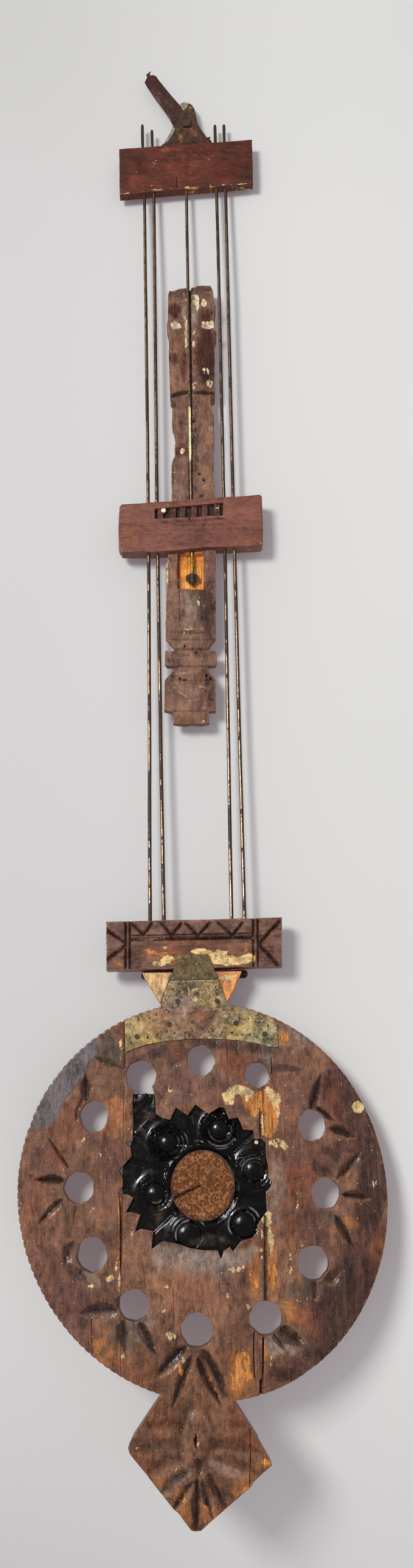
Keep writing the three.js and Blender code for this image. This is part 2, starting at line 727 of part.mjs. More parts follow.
// Bob: three boards of one slightly oval disc, pierced by holes and by the rosette's opening
const bobBack = bobFront + bobThickness;
const neckTop = bottomBarBottom - neckGap;
const bobMiddle = neckTop - neckLength - bobRadius;
const holeRingRadius = bobRadius * holeRingShare;
const holeRadius = bobRadius * holeRadiusShare;
const openingRadius = bobRadius * openingRadiusShare;

function bobEdge(angle, inset = 0) {
  const radius = bobRadius - inset + bobOval * Math.cos(2 * (angle - degrees(bobOvalDegrees)));
  return [radius * Math.cos(angle), bobMiddle + radius * Math.sin(angle)];
}

const discPoints = Array.from({ length: bobSegments }, (_, i) => bobEdge((2 * Math.PI * i) / bobSegments));
const disc = solidOf(slab(outline(discPoints), bobFront, bobBack));
const holePlaces = holeShares.map(([angle, ringShare, boreShare]) => ({
  x: holeRingRadius * ringShare * Math.cos(degrees(angle)),
  z: bobMiddle + holeRingRadius * ringShare * Math.sin(degrees(angle)),
  radius: holeRadius * boreShare,
}));
const rosetteX = rosetteOffset;
const rosetteZ = bobMiddle + bobRadius * rosetteRiseShare;
const openingPoints = Array.from({ length: 2 * openingTeeth }, (_, i) => {
  const radius = i % 2 ? openingRadius : openingRadius * toothShares[(i / 2) % toothShares.length];
  const angle = (Math.PI * i) / openingTeeth;
  return [rosetteX + radius * Math.cos(angle), rosetteZ + radius * Math.sin(angle)];
});
const opening = slab(outline(openingPoints), bobFront - overrun, bobBack + overrun);
let pierced = disc.subtract(solidOf(opening));
for (const { x, z, radius } of holePlaces) {
  const hole = round(radius, bobFront - overrun, bobBack + overrun, holeSegments).translate(x, 0, z);
  pierced = pierced.subtract(solidOf(hole));
}

const far = 2 * bobRadius;
const bobTop = bobMiddle + bobRadius + overrun;
const bobBottom = bobMiddle - bobRadius - overrun;
function beside(seam, side) {
  const edge = (side * boardGap) / 2;
  const seamTop = seam.topShare * bobRadius + edge;
  const seamBottom = seam.bottomShare * bobRadius + edge;
  const outside = side * far;
  const shape = outline(
    side < 0
      ? [[outside, bobTop], [outside, bobBottom], [seamBottom, bobBottom], [seamTop, bobTop]]
      : [[seamTop, bobTop], [seamBottom, bobBottom], [outside, bobBottom], [outside, bobTop]],
  );
  return solidOf(slab(shape, bobFront - overrun, bobBack + overrun));
}

// A chip that the cuts leave loose falls away
function largest(solid) {
  return solid.decompose().sort((a, b) => b.volume() - a.volume())[0];
}
let leftBoard = largest(pierced.intersect(beside(leftSeam, -1)));
let rightBoard = largest(pierced.intersect(beside(rightSeam, 1)));
let centreBoard = largest(pierced.intersect(beside(leftSeam, 1)).intersect(beside(rightSeam, -1)));

// Neck with its tenon, and the finial, both part of the middle board
const neckFoot = bobMiddle + bobRadius * 0.9;
const neckShape = outline([
  [neckBottomOffset - neckBottomWidth / 2, neckFoot],
  [neckBottomOffset + neckBottomWidth / 2, neckFoot],
  [neckBottomOffset + neckBottomWidth / 2, bobMiddle + bobRadius],
  [neckTopOffset + neckTopWidth / 2, neckTop - carvingWidth],
  [neckTopOffset + neckTopWidth / 2, neckTop],
  [neckTopOffset - neckTopWidth / 2, neckTop],
  [neckBottomOffset - neckBottomWidth / 2, bobMiddle + bobRadius],
]);
const tenonTop = bottomBarBottom + tenonLength - neckGap;
const tenonFront = (bottomFront + bottomBack - tenonThickness) / 2;
const plateX = upperPlate.offset;
const tenon = block(
  plateX - tenonWidth / 2, plateX + tenonWidth / 2,
  tenonFront, tenonFront + tenonThickness,
  neckFoot, tenonTop,
);
const mortise = block(
  plateX - tenonWidth / 2 - gap, plateX + tenonWidth / 2 + gap,
  tenonFront - gap, tenonFront + tenonThickness + gap,
  bottomBarBottom - overrun, tenonTop + gap,
);
bottomSolid = bottomSolid.subtract(solidOf(mortise));

const finialTop = bobMiddle - bobRadius;
const finialRoot = finialTop + bobRadius * 0.12;
const finialShape = softOutline([
  [-finialJoin.left, finialRoot],
  [-finialJoin.left, finialTop + finialCorner / 2],
  [-finialLeft.out, finialTop - finialLeft.down],
  [finialOffset, finialTop - finialHeight],
  [finialRight.out, finialTop - finialRight.down],
  [finialJoin.right, finialTop - finialCorner / 2],
  [finialJoin.right, finialRoot],
], finialCorner);
centreBoard = centreBoard
  .add(solidOf(slab(neckShape, bobFront, bobBack)))
  .add(solidOf(tenon))
  .add(solidOf(slab(finialShape, bobFront, bobBack, 4)));
for (const { x, z, radius } of holePlaces.filter((hole) => hole.z > neckFoot - holeRadius)) {
  const hole = round(radius, bobFront - overrun, bobBack + overrun, holeSegments).translate(x, 0, z);
  centreBoard = centreBoard.subtract(solidOf(hole));
}

// Rosette: a black turned and moulded ring set from behind, and its round plug
const ringFront = bobFront + ringRecess;
const ringBodyRadius = bobRadius * ringBodyShare;
const ringFlangeRadius = bobRadius * ringFlangeShare;
const bossRadius = bobRadius * bossRadiusShare;
const plugRadius = bobRadius * plugRadiusShare;
const plugDrop = bobRadius * plugDropShare;
const plugBack = ringFront + plugSeatDepth;
const flangeFront = bobBack + gap;
const flangeBack = flangeFront + ringFlangeThickness;
let ring = solidOf(
  turned(
    [[0, ringFront], [ringBodyRadius, ringFront], [ringBodyRadius, flangeFront],
      [ringFlangeRadius, flangeFront], [ringFlangeRadius, flangeBack], [0, flangeBack]],
    ringSegments,
  ),
);
const bossCircle = ringBodyRadius * bossCircleShare;
for (let i = 0; i < bossCount; i++) {
  const angle = degrees(bossStartDegrees) + (2 * Math.PI * i) / bossCount;
  const boss = new THREE.SphereGeometry(1, 16, 8)
    .scale(bossRadius, bossRise, bossRadius)
    .translate(bossCircle * Math.cos(angle), ringFront, bossCircle * Math.sin(angle));
  ring = ring.add(solidOf(boss));
}
const ringBore = round(plugRadius + gap, bobFront - 2 * overrun, plugBack + gap, ringSegments);
ring = ring.subtract(solidOf(ringBore.translate(0, 0, -plugDrop)));
const plug = turned(
  [[0, bobFront - plugDome], [plugRadius * 0.6, bobFront - plugDome * 0.6], [plugRadius, bobFront + plugDome],
    [plugRadius, plugBack], [0, plugBack]],
  ringSegments,
);

// Battens behind the boards, notched over the ring's flange
const battenFront = bobBack + gap;
const battenBack = battenFront + battenThickness;
const battenX = ((leftSeam.topShare + rightSeam.topShare) * bobRadius) / 2 + nailHeadRadius * 2;
const battens = [
  { name: "upper", z: bobMiddle + bobRadius * upperBattenShare },
  { name: "lower", z: bobMiddle + bobRadius * lowerBattenShare },
];
const battenNailShares = [-0.46, -0.32, 0.28, 0.46];
const boards = () => [leftBoard, centreBoard, rightBoard];
const flangeRoom = round(ringFlangeRadius + gap, flangeFront - overrun, flangeBack + gap, ringSegments);
const flangeRoomSolid = solidOf(flangeRoom.translate(rosetteX, 0, rosetteZ));
for (const { name, z } of battens) {
  let batten = solidOf(
    block(
      battenX - battenLength / 2, battenX + battenLength / 2,
      battenFront, battenBack,
      z - battenHeight / 2, z + battenHeight / 2,
    ),
  ).subtract(flangeRoomSolid);
  battenNailShares.forEach((share, i) => {
    const place = [battenX + share * battenLength, battenBack - nailHeadHeight - nailSink, z];
    const length = battenThickness + battenNailBite;
    batten = nailHole(batten, place, length, -1);
    [leftBoard, centreBoard, rightBoard] = boards().map((board) => nailHole(board, place, length, -1));
    nailAt(name + "_batten_nail_" + (i + 1), place, length, -1, iron);
  });
  add(name + "_batten", batten, woodDark);
}

// The ring's flange is nailed to the boards from behind
const ringNailDegrees = [0, 180];
const ringNailRadius = (ringFlangeRadius + openingRadius) / 2 + nailRadius / 2;
ringNailDegrees.forEach((angle, i) => {
  const x = ringNailRadius * Math.cos(degrees(angle));
  const z = ringNailRadius * Math.sin(degrees(angle));
  const length = ringFlangeThickness + 2 * gap + ringNailBite;
  ring = nailHole(ring, [x, flangeBack + gap, z], length, -1);
  const place = [rosetteX + x, flangeBack + gap, rosetteZ + z];
  [leftBoard, centreBoard, rightBoard] = boards().map((board) => nailHole(board, place, length, -1));
  nailAt("rosette_nail_" + ["right", "left"][i], place, length, -1, iron);
});
add("rosette_ring", ring, blackGloss).position.set(rosetteX, 0, rosetteZ);
add("rosette_plug", plug, cork).position.set(rosetteX, 0, rosetteZ - plugDrop);

// Dowel behind the neck
const dowelZ = bottomBarBottom - dowelBelowBar;
const dowelY = bobBack + gap + dowelRadius;
const neckNailZ = dowelZ - nailRadius;
let dowel = solidOf(
  round(dowelRadius, -dowelLength / 2, dowelLength / 2, boreSides)
    .rotateZ(Math.PI / 2)
    .translate(dowelOffset, dowelY, dowelZ),
);
["left", "right"].forEach((side, i) => {
  const x = dowelOffset + ((i ? 1 : -1) * neckBottomWidth) / 2;
  const place = [x, dowelY + dowelRadius + gap, neckNailZ];
  const length = 2 * dowelRadius + 2 * gap + dowelNailBite;
  dowel = nailHole(dowel, place, length, -1);
  centreBoard = nailHole(centreBoard, place, length, -1);
  nailAt("dowel_nail_" + side, place, length, -1, iron);
});
add("neck_dowel", dowel, woodDark);

// Brass plates over the neck joint
const plateBack = bobFront - gap;
const plateFront = plateBack - plateThickness;
const upperPlateTop = bottomBarBottom + upperPlate.onBar;
const plateJoint = neckTop - 2 * neckGap;
const upperHalfTop = upperPlate.topWidth / 2;
const upperHalfBottom = upperPlate.bottomWidth / 2;
let plateHigh = solidOf(
  slab(
    outline([
      [plateX - upperHalfBottom, plateJoint + gap], [plateX + upperHalfBottom, plateJoint + gap],
      [plateX + upperHalfTop, upperPlateTop], [plateX - upperHalfTop, upperPlateTop],
    ]),
    plateFront, plateBack,
  ),
);
const rimAngle = Math.acos(lowerPlate.span / 2 / (bobRadius - lowerPlate.rimMargin));
const rimSteps = 8;
const waistHalf = lowerPlate.waistWidth / 2;

function rimPoints(from, to) {
  const angles = Array.from({ length: rimSteps + 1 }, (_, i) => from + ((to - from) * i) / rimSteps);
  return angles.map((angle) => bobEdge(angle, lowerPlate.rimMargin));
}
const waistAngle = Math.acos((waistHalf + Math.abs(plateX)) / bobRadius);
const lowerEdgeMiddle = bobMiddle + bobRadius - lowerPlate.band;
const archPoints = Array.from({ length: 2 * rimSteps + 1 }, (_, i) => {
  const share = i / rimSteps - 1;
  return [(share * lowerPlate.span) / 2, lowerEdgeMiddle - lowerPlate.arch * share * share];
});
let plateLow = solidOf(
  slab(
    outline([
      ...archPoints,
      ...rimPoints(rimAngle, waistAngle),
      [plateX + waistHalf, bobMiddle + bobRadius],
      [plateX + upperHalfBottom, plateJoint],
      [plateX - upperHalfBottom, plateJoint],
      [plateX - waistHalf, bobMiddle + bobRadius],
      ...rimPoints(Math.PI - waistAngle, Math.PI - rimAngle),
    ]),
    plateFront, plateBack,
  ),
);

// Nails and the rivet through the plates; the rivet also pegs the tenon
const rivetPlace = [plateX, plateFront - gap, upperPlateTop - upperPlate.onBar * 0.45];
const rivetLength = bottomBar.depth + plateThickness + gap;
plateHigh = nailHole(plateHigh, rivetPlace, rivetLength, 1);
bottomSolid = nailHole(bottomSolid, rivetPlace, rivetLength, 1);
centreBoard = nailHole(centreBoard, rivetPlace, rivetLength, 1);
nailAt("neck_plate_rivet", rivetPlace, rivetLength, 1, brassOlive);

const plateNailShares = [
  ["neck_plate_nail_top_left", -0.3, 1.06], ["neck_plate_nail_top_right", 0.22, 1.06],
  ["neck_plate_nail_left_inner", -0.42, 0.42], ["neck_plate_nail_left_outer", -0.84, 0.1],
  ["neck_plate_nail_right_inner", 0.46, 0.42], ["neck_plate_nail_right_outer", 0.84, 0.1],
];
for (const [name, across, up] of plateNailShares) {
  const place = [
    (across * lowerPlate.span) / 2,
    plateFront - gap,
    lowerEdgeMiddle + up * lowerPlate.band,
  ];
  const length = plateThickness + 2 * gap + plateNailLength;
  plateLow = nailHole(plateLow, place, length, 1);
  [leftBoard, centreBoard, rightBoard] = boards().map((board) => nailHole(board, place, length, 1));
  nailAt(name, place, length, 1, iron);
}
add("neck_plate_upper", plateHigh, brassOlive);
add("neck_plate_lower", plateLow, brassOlive);
add("bottom_bar", bottomSolid, woodRed);
add("bob_left_board", leftBoard, woodDark);
add("bob_centre_board", centreBoard, woodDark);
add("bob_right_board", rightBoard, woodDark);

export default pendulum;
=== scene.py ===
# A worn wooden clock pendulum in front of a pale sheet, lit from the upper left.
# Lengths are written in millimetres and become metres where a mesh is made.
import json
import math

import bpy
import numpy as np
from mathutils import Matrix, Vector
from mathutils.geometry import delaunay_2d_cdt


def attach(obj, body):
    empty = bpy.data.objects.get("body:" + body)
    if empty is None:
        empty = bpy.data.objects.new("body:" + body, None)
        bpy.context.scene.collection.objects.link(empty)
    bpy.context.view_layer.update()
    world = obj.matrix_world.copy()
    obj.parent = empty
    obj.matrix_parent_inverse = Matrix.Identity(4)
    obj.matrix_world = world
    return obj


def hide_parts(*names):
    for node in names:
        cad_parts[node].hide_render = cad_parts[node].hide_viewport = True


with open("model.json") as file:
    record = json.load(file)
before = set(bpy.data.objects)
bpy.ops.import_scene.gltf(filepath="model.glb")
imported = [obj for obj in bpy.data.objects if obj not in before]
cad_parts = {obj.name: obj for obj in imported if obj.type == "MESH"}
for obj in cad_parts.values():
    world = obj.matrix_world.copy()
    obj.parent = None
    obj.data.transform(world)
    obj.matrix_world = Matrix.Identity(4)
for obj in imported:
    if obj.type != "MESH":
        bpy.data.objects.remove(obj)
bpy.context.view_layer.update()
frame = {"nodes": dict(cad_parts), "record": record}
MM = 0.001

# The camera stands low and looks up along the pendulum
CAMERA_PLACE = np.array([2.65, -852.8, -888.5])
CAMERA_RIGHT = np.array([0.99985, 0.0, -0.01756])
CAMERA_UP = np.array([0.01679, -0.29237, 0.95616])
CAMERA_FORWARD = np.array([0.00513, 0.9563, 0.29233])
CAMERA_LENS = 27.04
SENSOR = 36.0
PHOTO_WIDTH, PHOTO_HEIGHT = 679, 2576
FOCAL = CAMERA_LENS / SENSOR * PHOTO_HEIGHT


def seen(px, py, y):
    """The place (x, z) at depth y that shows at a point of the photograph."""
    ray = (
        CAMERA_FORWARD
        + CAMERA_RIGHT * (px - PHOTO_WIDTH / 2) / FOCAL
        + CAMERA_UP * (PHOTO_HEIGHT / 2 - py) / FOCAL
    )
    place = CAMERA_PLACE + ray * (y - CAMERA_PLACE[1]) / ray[1]
    return place[0], place[2]


def seen_line(points, y):
    return np.array([seen(px, py, y) for px, py in points])


# Noise on numpy arrays, the same on every run, from constants that scramble whole numbers
def lattice(i, j, k, seed):
    n = (i * 1619 + j * 31337 + k * 6971 + seed * 1013) & 0x7FFFFFFF
    n = (n >> 13) ^ n
    n = (n * ((n * n * 15731 + 789221) & 0x7FFFFFFF) + 1376312589) & 0x7FFFFFFF
    return n / 0x3FFFFFFF - 1.0


def noise(x, y, z, size, seed=0, octaves=3):
    """Smooth noise from about -1 to 1, with features of that size."""
    total = np.zeros(np.shape(x))
    strength, weight = 1.0, 0.0
    for octave in range(octaves):
        p = [np.asarray(c, float) * 2**octave / size + 17.3 * octave for c in (x, y, z)]
        cell = [np.floor(c).astype(np.int64) for c in p]
        part = [c - f for c, f in zip(p, cell)]
        ease = [f * f * (3 - 2 * f) for f in part]
        value = 0.0
        for corner in range(8):
            step = [(corner >> axis) & 1 for axis in range(3)]
            share = 1.0
            for e, s in zip(ease, step):
                share = share * (e if s else 1 - e)
            value = value + share * lattice(*[c + s for c, s in zip(cell, step)], seed + octave)
        total = total + strength * value
        weight += strength
        strength *= 0.5
    return total / weight


def unevenness(p, size, seed, x=1.0, z=1.0, octaves=3):
    """Noise at places (x, z) on a board, stretched where x or z is below 1."""
    return noise(p[:, 0] * x, 0 * p[:, 0], p[:, 1] * z, size, seed, octaves)


def smooth(low, high, value):
    """0 up to low and 1 from high, with a soft step between."""
    t = np.clip((value - low) / (high - low), 0, 1)
    return t * t * (3 - 2 * t)


# Outlines
def divided(points, step):
    """The same closed outline with extra points on its long sides."""
    points = np.asarray(points, float)
    made = []
    for a, b in zip(points, np.roll(points, -1, axis=0)):
        count = max(int(math.ceil(np.hypot(*(b - a)) / step)), 1)
        made += [a + (b - a) * i / count for i in range(count)]
    return np.array(made)


def unit_circle(count):
    angle = np.linspace(0, 2 * math.pi, count, endpoint=False)
    return np.column_stack([np.cos(angle), np.sin(angle)])


def shaken(edge, amount, size, seeds):
    """An outline moved about a little, as a saw or a plane leaves it."""
    return edge + amount * np.column_stack([unevenness(edge, size, seed) for seed in seeds])


def loop_area(points):
    x, z = points[:, 0], points[:, 1]
    return 0.5 * np.sum(x * np.roll(z, -1) - np.roll(x, -1) * z)


def counterclockwise(points):
    return points if loop_area(points) > 0 else points[::-1]


def inside(points, loop):
    """Which points lie inside a closed outline."""
    x, z = points[:, 0], points[:, 1]
    within = np.zeros(len(points), bool)
    for (x0, z0), (x1, z1) in zip(loop, np.roll(loop, -1, axis=0)):
        if z0 == z1:
            continue
        crosses = (z0 > z) != (z1 > z)
        within ^= crosses & (x < (x1 - x0) * (z - z0) / (z1 - z0) + x0)
    return within


def in_material(points, loops):
    """Which points lie inside the first loop and outside the others."""
    keep = inside(points, loops[0])
    for hole in loops[1:]:
        keep &= ~inside(points, hole)
    return keep


def distance_to(points, line, closed=False):
    """Distance of each point to a line, and how far along the line it is, as a share."""
    line = np.asarray(line, float)
    ends = np.roll(line, -1, axis=0) if closed else line[1:]
    starts = line if closed else line[:-1]
    lengths = np.hypot(*(ends - starts).T)
    run = np.concatenate([[0], np.cumsum(lengths)])
    best = np.full(len(points), 1e9)
    along = np.zeros(len(points))
    for a, b, length, before in zip(starts, ends, lengths, run):
        d = (b - a) / max(length, 1e-9)
        t = np.clip((points - a) @ d, 0, length)
        gap = np.hypot(*(points - a - t[:, None] * d).T)
        nearer = gap < best
        best = np.where(nearer, gap, best)
        along = np.where(nearer, before + t, along)
    return best, along / max(run[-1], 1e-9)


def inset(loop, amount):
    """The outline moved towards the material, which lies to its left."""
    before = loop - np.roll(loop, 1, axis=0)
    after = np.roll(loop, -1, axis=0) - loop
    left = np.array([[-s[1], s[0]] / max(np.hypot(*s), 1e-9) for s in before])
    left += np.array([[-s[1], s[0]] / max(np.hypot(*s), 1e-9) for s in after])
    left /= np.maximum(np.hypot(*left.T), 0.35)[:, None]
    return loop + left * np.asarray(amount).reshape(-1, 1)


def turned_alike(points, triangles):
    """The triangles all counterclockwise, and twice the area of each."""
    a, b, c = (points[triangles[:, i]] for i in range(3))
    turn = (b[:, 0] - a[:, 0]) * (c[:, 1] - a[:, 1]) - (b[:, 1] - a[:, 1]) * (c[:, 0] - a[:, 0])
    triangles[turn < 0] = triangles[turn < 0][:, ::-1]
    return triangles, np.abs(turn)


def cap(loops, inner):
    """Triangles over the first loop, without the other loops, as indices into loops + inner."""
    points = np.vstack(loops + [inner])
    edges, start = [], 0
    for loop in loops:
        n = len(loop)
        edges += [(start + i, start + (i + 1) % n) for i in range(n)]
        start += n
    made, _, faces, origin, _, _ = delaunay_2d_cdt([Vector(p) for p in points], edges, [], 0, 1e-6)
    index, extra = [], []
    for place, source in zip(made, origin):
        if source:
            index.append(source[0])
        else:
            index.append(len(points) + len(extra))
            extra.append(place)
    if extra:
        points = np.vstack([points, np.array([tuple(p) for p in extra])])
    triangles = np.array([[index[i] for i in face] for face in faces])
    triangles = triangles[in_material(points[triangles].mean(axis=1), loops)]
    triangles, area = turned_alike(points, triangles)
    return points, triangles[area > 1e-9]


def scattered(loops, spacing, marks, seed):
    """Points inside the loops: first the marked ones, then a slightly shaken grid around them."""
    low, high = loops[0].min(axis=0), loops[0].max(axis=0)
    rows = np.arange(low[1], high[1], spacing * 0.87)
    columns = np.arange(low[0], high[0], spacing)
    x, z = np.meshgrid(columns, rows)
    x = x + (np.arange(len(rows)) % 2)[:, None] * spacing / 2
    grid = np.column_stack([x.ravel(), z.ravel()])
    shake = np.random.default_rng(seed).uniform(-0.12, 0.12, grid.shape)
    grid += shake * spacing
    if len(marks):
        grid = np.vstack([marks, grid[clear_of(grid, marks, spacing * 0.6)]])
    grid = grid[in_material(grid, loops)]
    clear = np.ones(len(grid), bool)
    for loop in loops:
        gap, _ = distance_to(grid, loop, closed=True)
        clear &= gap > spacing * 0.35
    return grid[clear]


def clear_of(grid, marks, reach):
    """Which grid points have no mark nearer than reach."""
    cells = {}
    for i, key in enumerate(map(tuple, np.floor(marks / reach).astype(int))):
        cells.setdefault(key, []).append(i)
    free = np.ones(len(grid), bool)
    for g, (i, j) in enumerate(np.floor(grid / reach).astype(int)):
        for key in ((i + a, j + b) for a in (-1, 0, 1) for b in (-1, 0, 1)):
            near = cells.get(key)
            if near and np.min(np.hypot(*(marks[near] - grid[g]).T)) < reach:
                free[g] = False
                break
    return free


# Meshes and objects
FRONT, WALL, BACK = 0.0, 1.0, 2.0
CORNER_BEND = math.radians(45)
# How far from an edge its wear reaches
EDGE_WIDTH = 1.4


def added(name, data):
    """A new object in the scene."""
    made = bpy.data.objects.new(name, data)
    bpy.context.scene.collection.objects.link(made)
    return made


def smooth_mesh(name, verts, faces):
    """A mesh from points in millimetres."""
    mesh = bpy.data.meshes.new(name)
    mesh.from_pydata((np.asarray(verts) * MM).tolist(), [], faces)
    mesh.update()
    mesh.shade_smooth()
    return mesh


def piece(name, verts, faces, body, slot, replaced=(), material=None, sharp=38, **painted):
    """A named piece from points in millimetres, riding on its body. Its finish is painted on its points."""
    mesh = smooth_mesh(name, verts, faces)
    mesh.set_sharp_from_angle(angle=math.radians(sharp))
    if painted.get("stain") is not None:
        painted["cover"] = painted["stain"][:, 3]
    for layer_name, values in painted.items():
        if values is not None:
            kind, field = ("FLOAT", "value") if np.ndim(values) == 1 else ("FLOAT_COLOR", "color")
            layer = mesh.attributes.new(layer_name, kind, "POINT")
            layer.data.foreach_set(field, np.asarray(values, np.float32).ravel())
    made = added(name, mesh)
    mesh.materials.append(material or MATERIALS[slot])
    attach(made, body)
    if replaced:
        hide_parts(*replaced)
    return made


def board(
    name, body, slot, replaced, rim, front, back, holes=(), spacing=1.3, marks=(), relief=None, rear=None,
    rear_marks=(), corner=0.5, ragged=0.15, swell=0.12, paint=None, seed=0, wall_step=2.2, material=None,
):
    """A board cut to an outline, with a carved front, worn corners and rough sides.

    relief and rear say how deep the front and the back are cut, and marks are points both keep.
    """
    loops = [counterclockwise(np.asarray(rim, float))]
    loops += [counterclockwise(np.asarray(hole, float))[::-1] for hole in holes]
    loops = [divided(loop, spacing) for loop in loops]
    wear = [corner * (0.75 + 0.5 * unevenness(loop, 9, seed)) for loop in loops]
    inner_loops = [inset(loop, w) for loop, w in zip(loops, wear)]
    marks = np.vstack(marks) if len(marks) else np.zeros((0, 2))
    front_points, front_faces = cap(inner_loops, scattered(inner_loops, spacing, marks, seed))
    rear_marks = np.asarray(rear_marks, float).reshape(-1, 2)
    back_points, back_faces = cap(inner_loops, scattered(inner_loops, spacing * 2.4, rear_marks, seed + 1))

    def front_at(p):
        depth = relief(p) if relief is not None else 0.0
        waves = swell * unevenness(p, 14, seed + 5)
        return front + depth + waves + swell

    def back_at(p):
        return np.full(len(p), float(back)) - (rear(p) if rear is not None else 0.0)

    verts, sides = [], []

    def add(places, y, side):
        verts.append(np.column_stack([places[:, 0], y, places[:, 1]]))
        sides.append(np.full(len(places), side))

    add(front_points, front_at(front_points), FRONT)
    add(back_points, back_at(back_points), BACK)
    faces = [tuple(f) for f in front_faces.tolist()]
    back_start = len(front_points)
    faces += [tuple(back_start + i for i in reversed(f)) for f in back_faces.tolist()]
    next_start = back_start + len(back_points)
    loop_start = 0
    for loop, within, w in zip(loops, inner_loops, wear):
        n = len(loop)
        y0, y1 = front_at(within), back_at(within)
        worn = inset(loop, w * (1 - math.sin(CORNER_BEND)))
        rows = [(worn, y0 + w * (1 - math.cos(CORNER_BEND)))]
        count = max(int(round((back - front) / wall_step)), 1)
        for i in range(count + 1):
            y = (y0 + w) + (y1 - w - (y0 + w)) * i / count
            rough = ragged * noise(loop[:, 0], y, loop[:, 1], 3.5, seed + 9)
            rows.append((inset(loop, rough + ragged * 0.6), y))
        rows.append((worn, y1 - w * (1 - math.cos(CORNER_BEND))))
        ring = [loop_start + np.arange(n)]
        for places, y in rows:
            add(places, y, WALL)
            ring.append(next_start + np.arange(n))
            next_start += n
        ring.append(back_start + loop_start + np.arange(n))
        for upper, lower in zip(ring, ring[1:]):
            for i in range(n):
                j = (i + 1) % n
                faces.append((int(upper[i]), int(lower[i]), int(lower[j]), int(upper[j])))
        loop_start += n
    verts = np.vstack(verts)
    side = np.concatenate(sides)
    flat = verts[:, [0, 2]]
    nearest = np.full(len(verts), 1e9)
    for loop in loops:
        gap, _ = distance_to(flat, loop, closed=True)
        nearest = np.minimum(nearest, gap)
    edge = np.where(side == BACK, 0, np.exp(-nearest / EDGE_WIDTH))
    finish, stain = paint(flat, side) if paint is not None else (None, None)
    return piece(name, verts, faces, body, slot, replaced, material, finish=finish, stain=stain, edge=edge)


# Strokes of the carver's knife, each from a start to a tip
def leaf_frame(start, tip):
    """Start, length and the two directions of a leaf-shaped cut."""
    start, tip = np.array(start), np.array(tip)
    length = np.hypot(*(tip - start))
    along = (tip - start) / length
    return start, length, along, np.array([-along[1], along[0]])


def leaf(points, start, tip, width, depth, lean=0.0):
    """Depth of a leaf-shaped cut. lean moves its deepest line to one side."""
    start, length, along, across = leaf_frame(start, tip)
    t = (points - start) @ along / length
    s = (points - start) @ across
    half = width / 2 * np.sin(np.pi * np.clip(t, 0, 1) ** 0.75) ** 0.8 + 1e-6
    u = s / half
    ridge = np.where(u > lean, (1 - u) / (1 - lean), (1 + u) / (1 + lean))
    reach = (t > 0) & (t < 1)
    return np.where(reach, depth * np.clip(ridge, 0, 1) * np.minimum(1, half / width * 3), 0)


def leaf_marks(start, tip, width, step=1.0):
    """Points for the mesh along the rim and the middle of a leaf-shaped cut."""
    start, length, along, across = leaf_frame(start, tip)
    t = np.linspace(0.02, 0.98, max(int(length / step), 4))
    half = width / 2 * np.sin(np.pi * t**0.75) ** 0.8
    middle = start + np.outer(t * length, along)
    return np.vstack([middle, middle + half[:, None] * across, middle - half[:, None] * across])


def groove(points, line, width, depth):
    """Depth of a V-shaped cut along a line."""
    gap, _ = distance_to(points, line)
    return depth * np.clip(1 - gap / (width / 2), 0, 1)


def grooves(points, cuts):
    """Depth of the deepest of V-shaped cuts: line, width and depth of each."""
    depth = np.zeros(len(points))
    for line, width, deep in cuts:
        depth = np.maximum(depth, groove(points, line, width, deep))
    return depth


def groove_marks(line, width, step=1.0):
    """Points for the mesh along the rims and the middle of a groove."""
    line = np.asarray(line, float)
    made = []
    for a, b in zip(line[:-1], line[1:]):
        length = np.hypot(*(b - a))
        d = (b - a) / length
        n = np.array([-d[1], d[0]])
        t = np.linspace(0, length, max(int(length / step), 2))
        middle = a + np.outer(t, d)
        made += [middle, middle + n * width / 2, middle - n * width / 2]
    return np.vstack(made)


# Patches of bare wood, paint and dirt: shapes with soft edges
# These shapes also lay painted shade and painted light where a piece asks for them
def spot(points, centre, size, turn=0.0, soft=0.35, uneven=0.0):
    """1 in the middle of an oval patch, 0.5 on its outline, 0 outside."""
    a = math.radians(turn)
    d = points - np.array(centre)
    u = (d[:, 0] * math.cos(a) + d[:, 1] * math.sin(a)) / (size[0] / 2)
    v = (-d[:, 0] * math.sin(a) + d[:, 1] * math.cos(a)) / (size[1] / 2)
    out = np.hypot(u, v)
    near = out < 2.2
    if uneven and near.any():
        reach = 0.55 * math.sqrt(size[0] * size[1])
        out[near] += uneven * unevenness(points[near], reach, int(centre[0] + centre[1]), octaves=2)
    return smooth(1 + soft, 1 - soft, out)


def streak(points, line, width, soft=0.5):
    """1 along a line, fading at its width."""
    gap, _ = distance_to(points, line)
    return smooth(width / 2 * (1 + soft), width / 2 * (1 - soft), gap)


# Tones of old varnish, smoke, paint and handling, and of painted shade, light and sheen, from 0 to 255
STAINS = {
    "smoke": (106, 100, 104), "umber": (66, 43, 37), "plum": (94, 60, 55), "russet": (126, 70, 48),
    "amber": (166, 108, 60), "tan": (144, 104, 80), "ash": (146, 128, 116), "olive": (84, 72, 60),
    "rose": (124, 86, 74), "maroon": (78, 34, 28), "straw": (226, 208, 140), "black": (24, 18, 16),
    "verdigris": (150, 166, 122), "brass": (190, 160, 96), "clay": (150, 92, 64), "walnut": (112, 76, 50),
    "peach": (240, 196, 140), "orange": (226, 148, 84), "lime": (228, 222, 168),
    "silver": (178, 174, 172),
}


def tone(name):
    return np.array(hue(*STAINS[name])[:3])


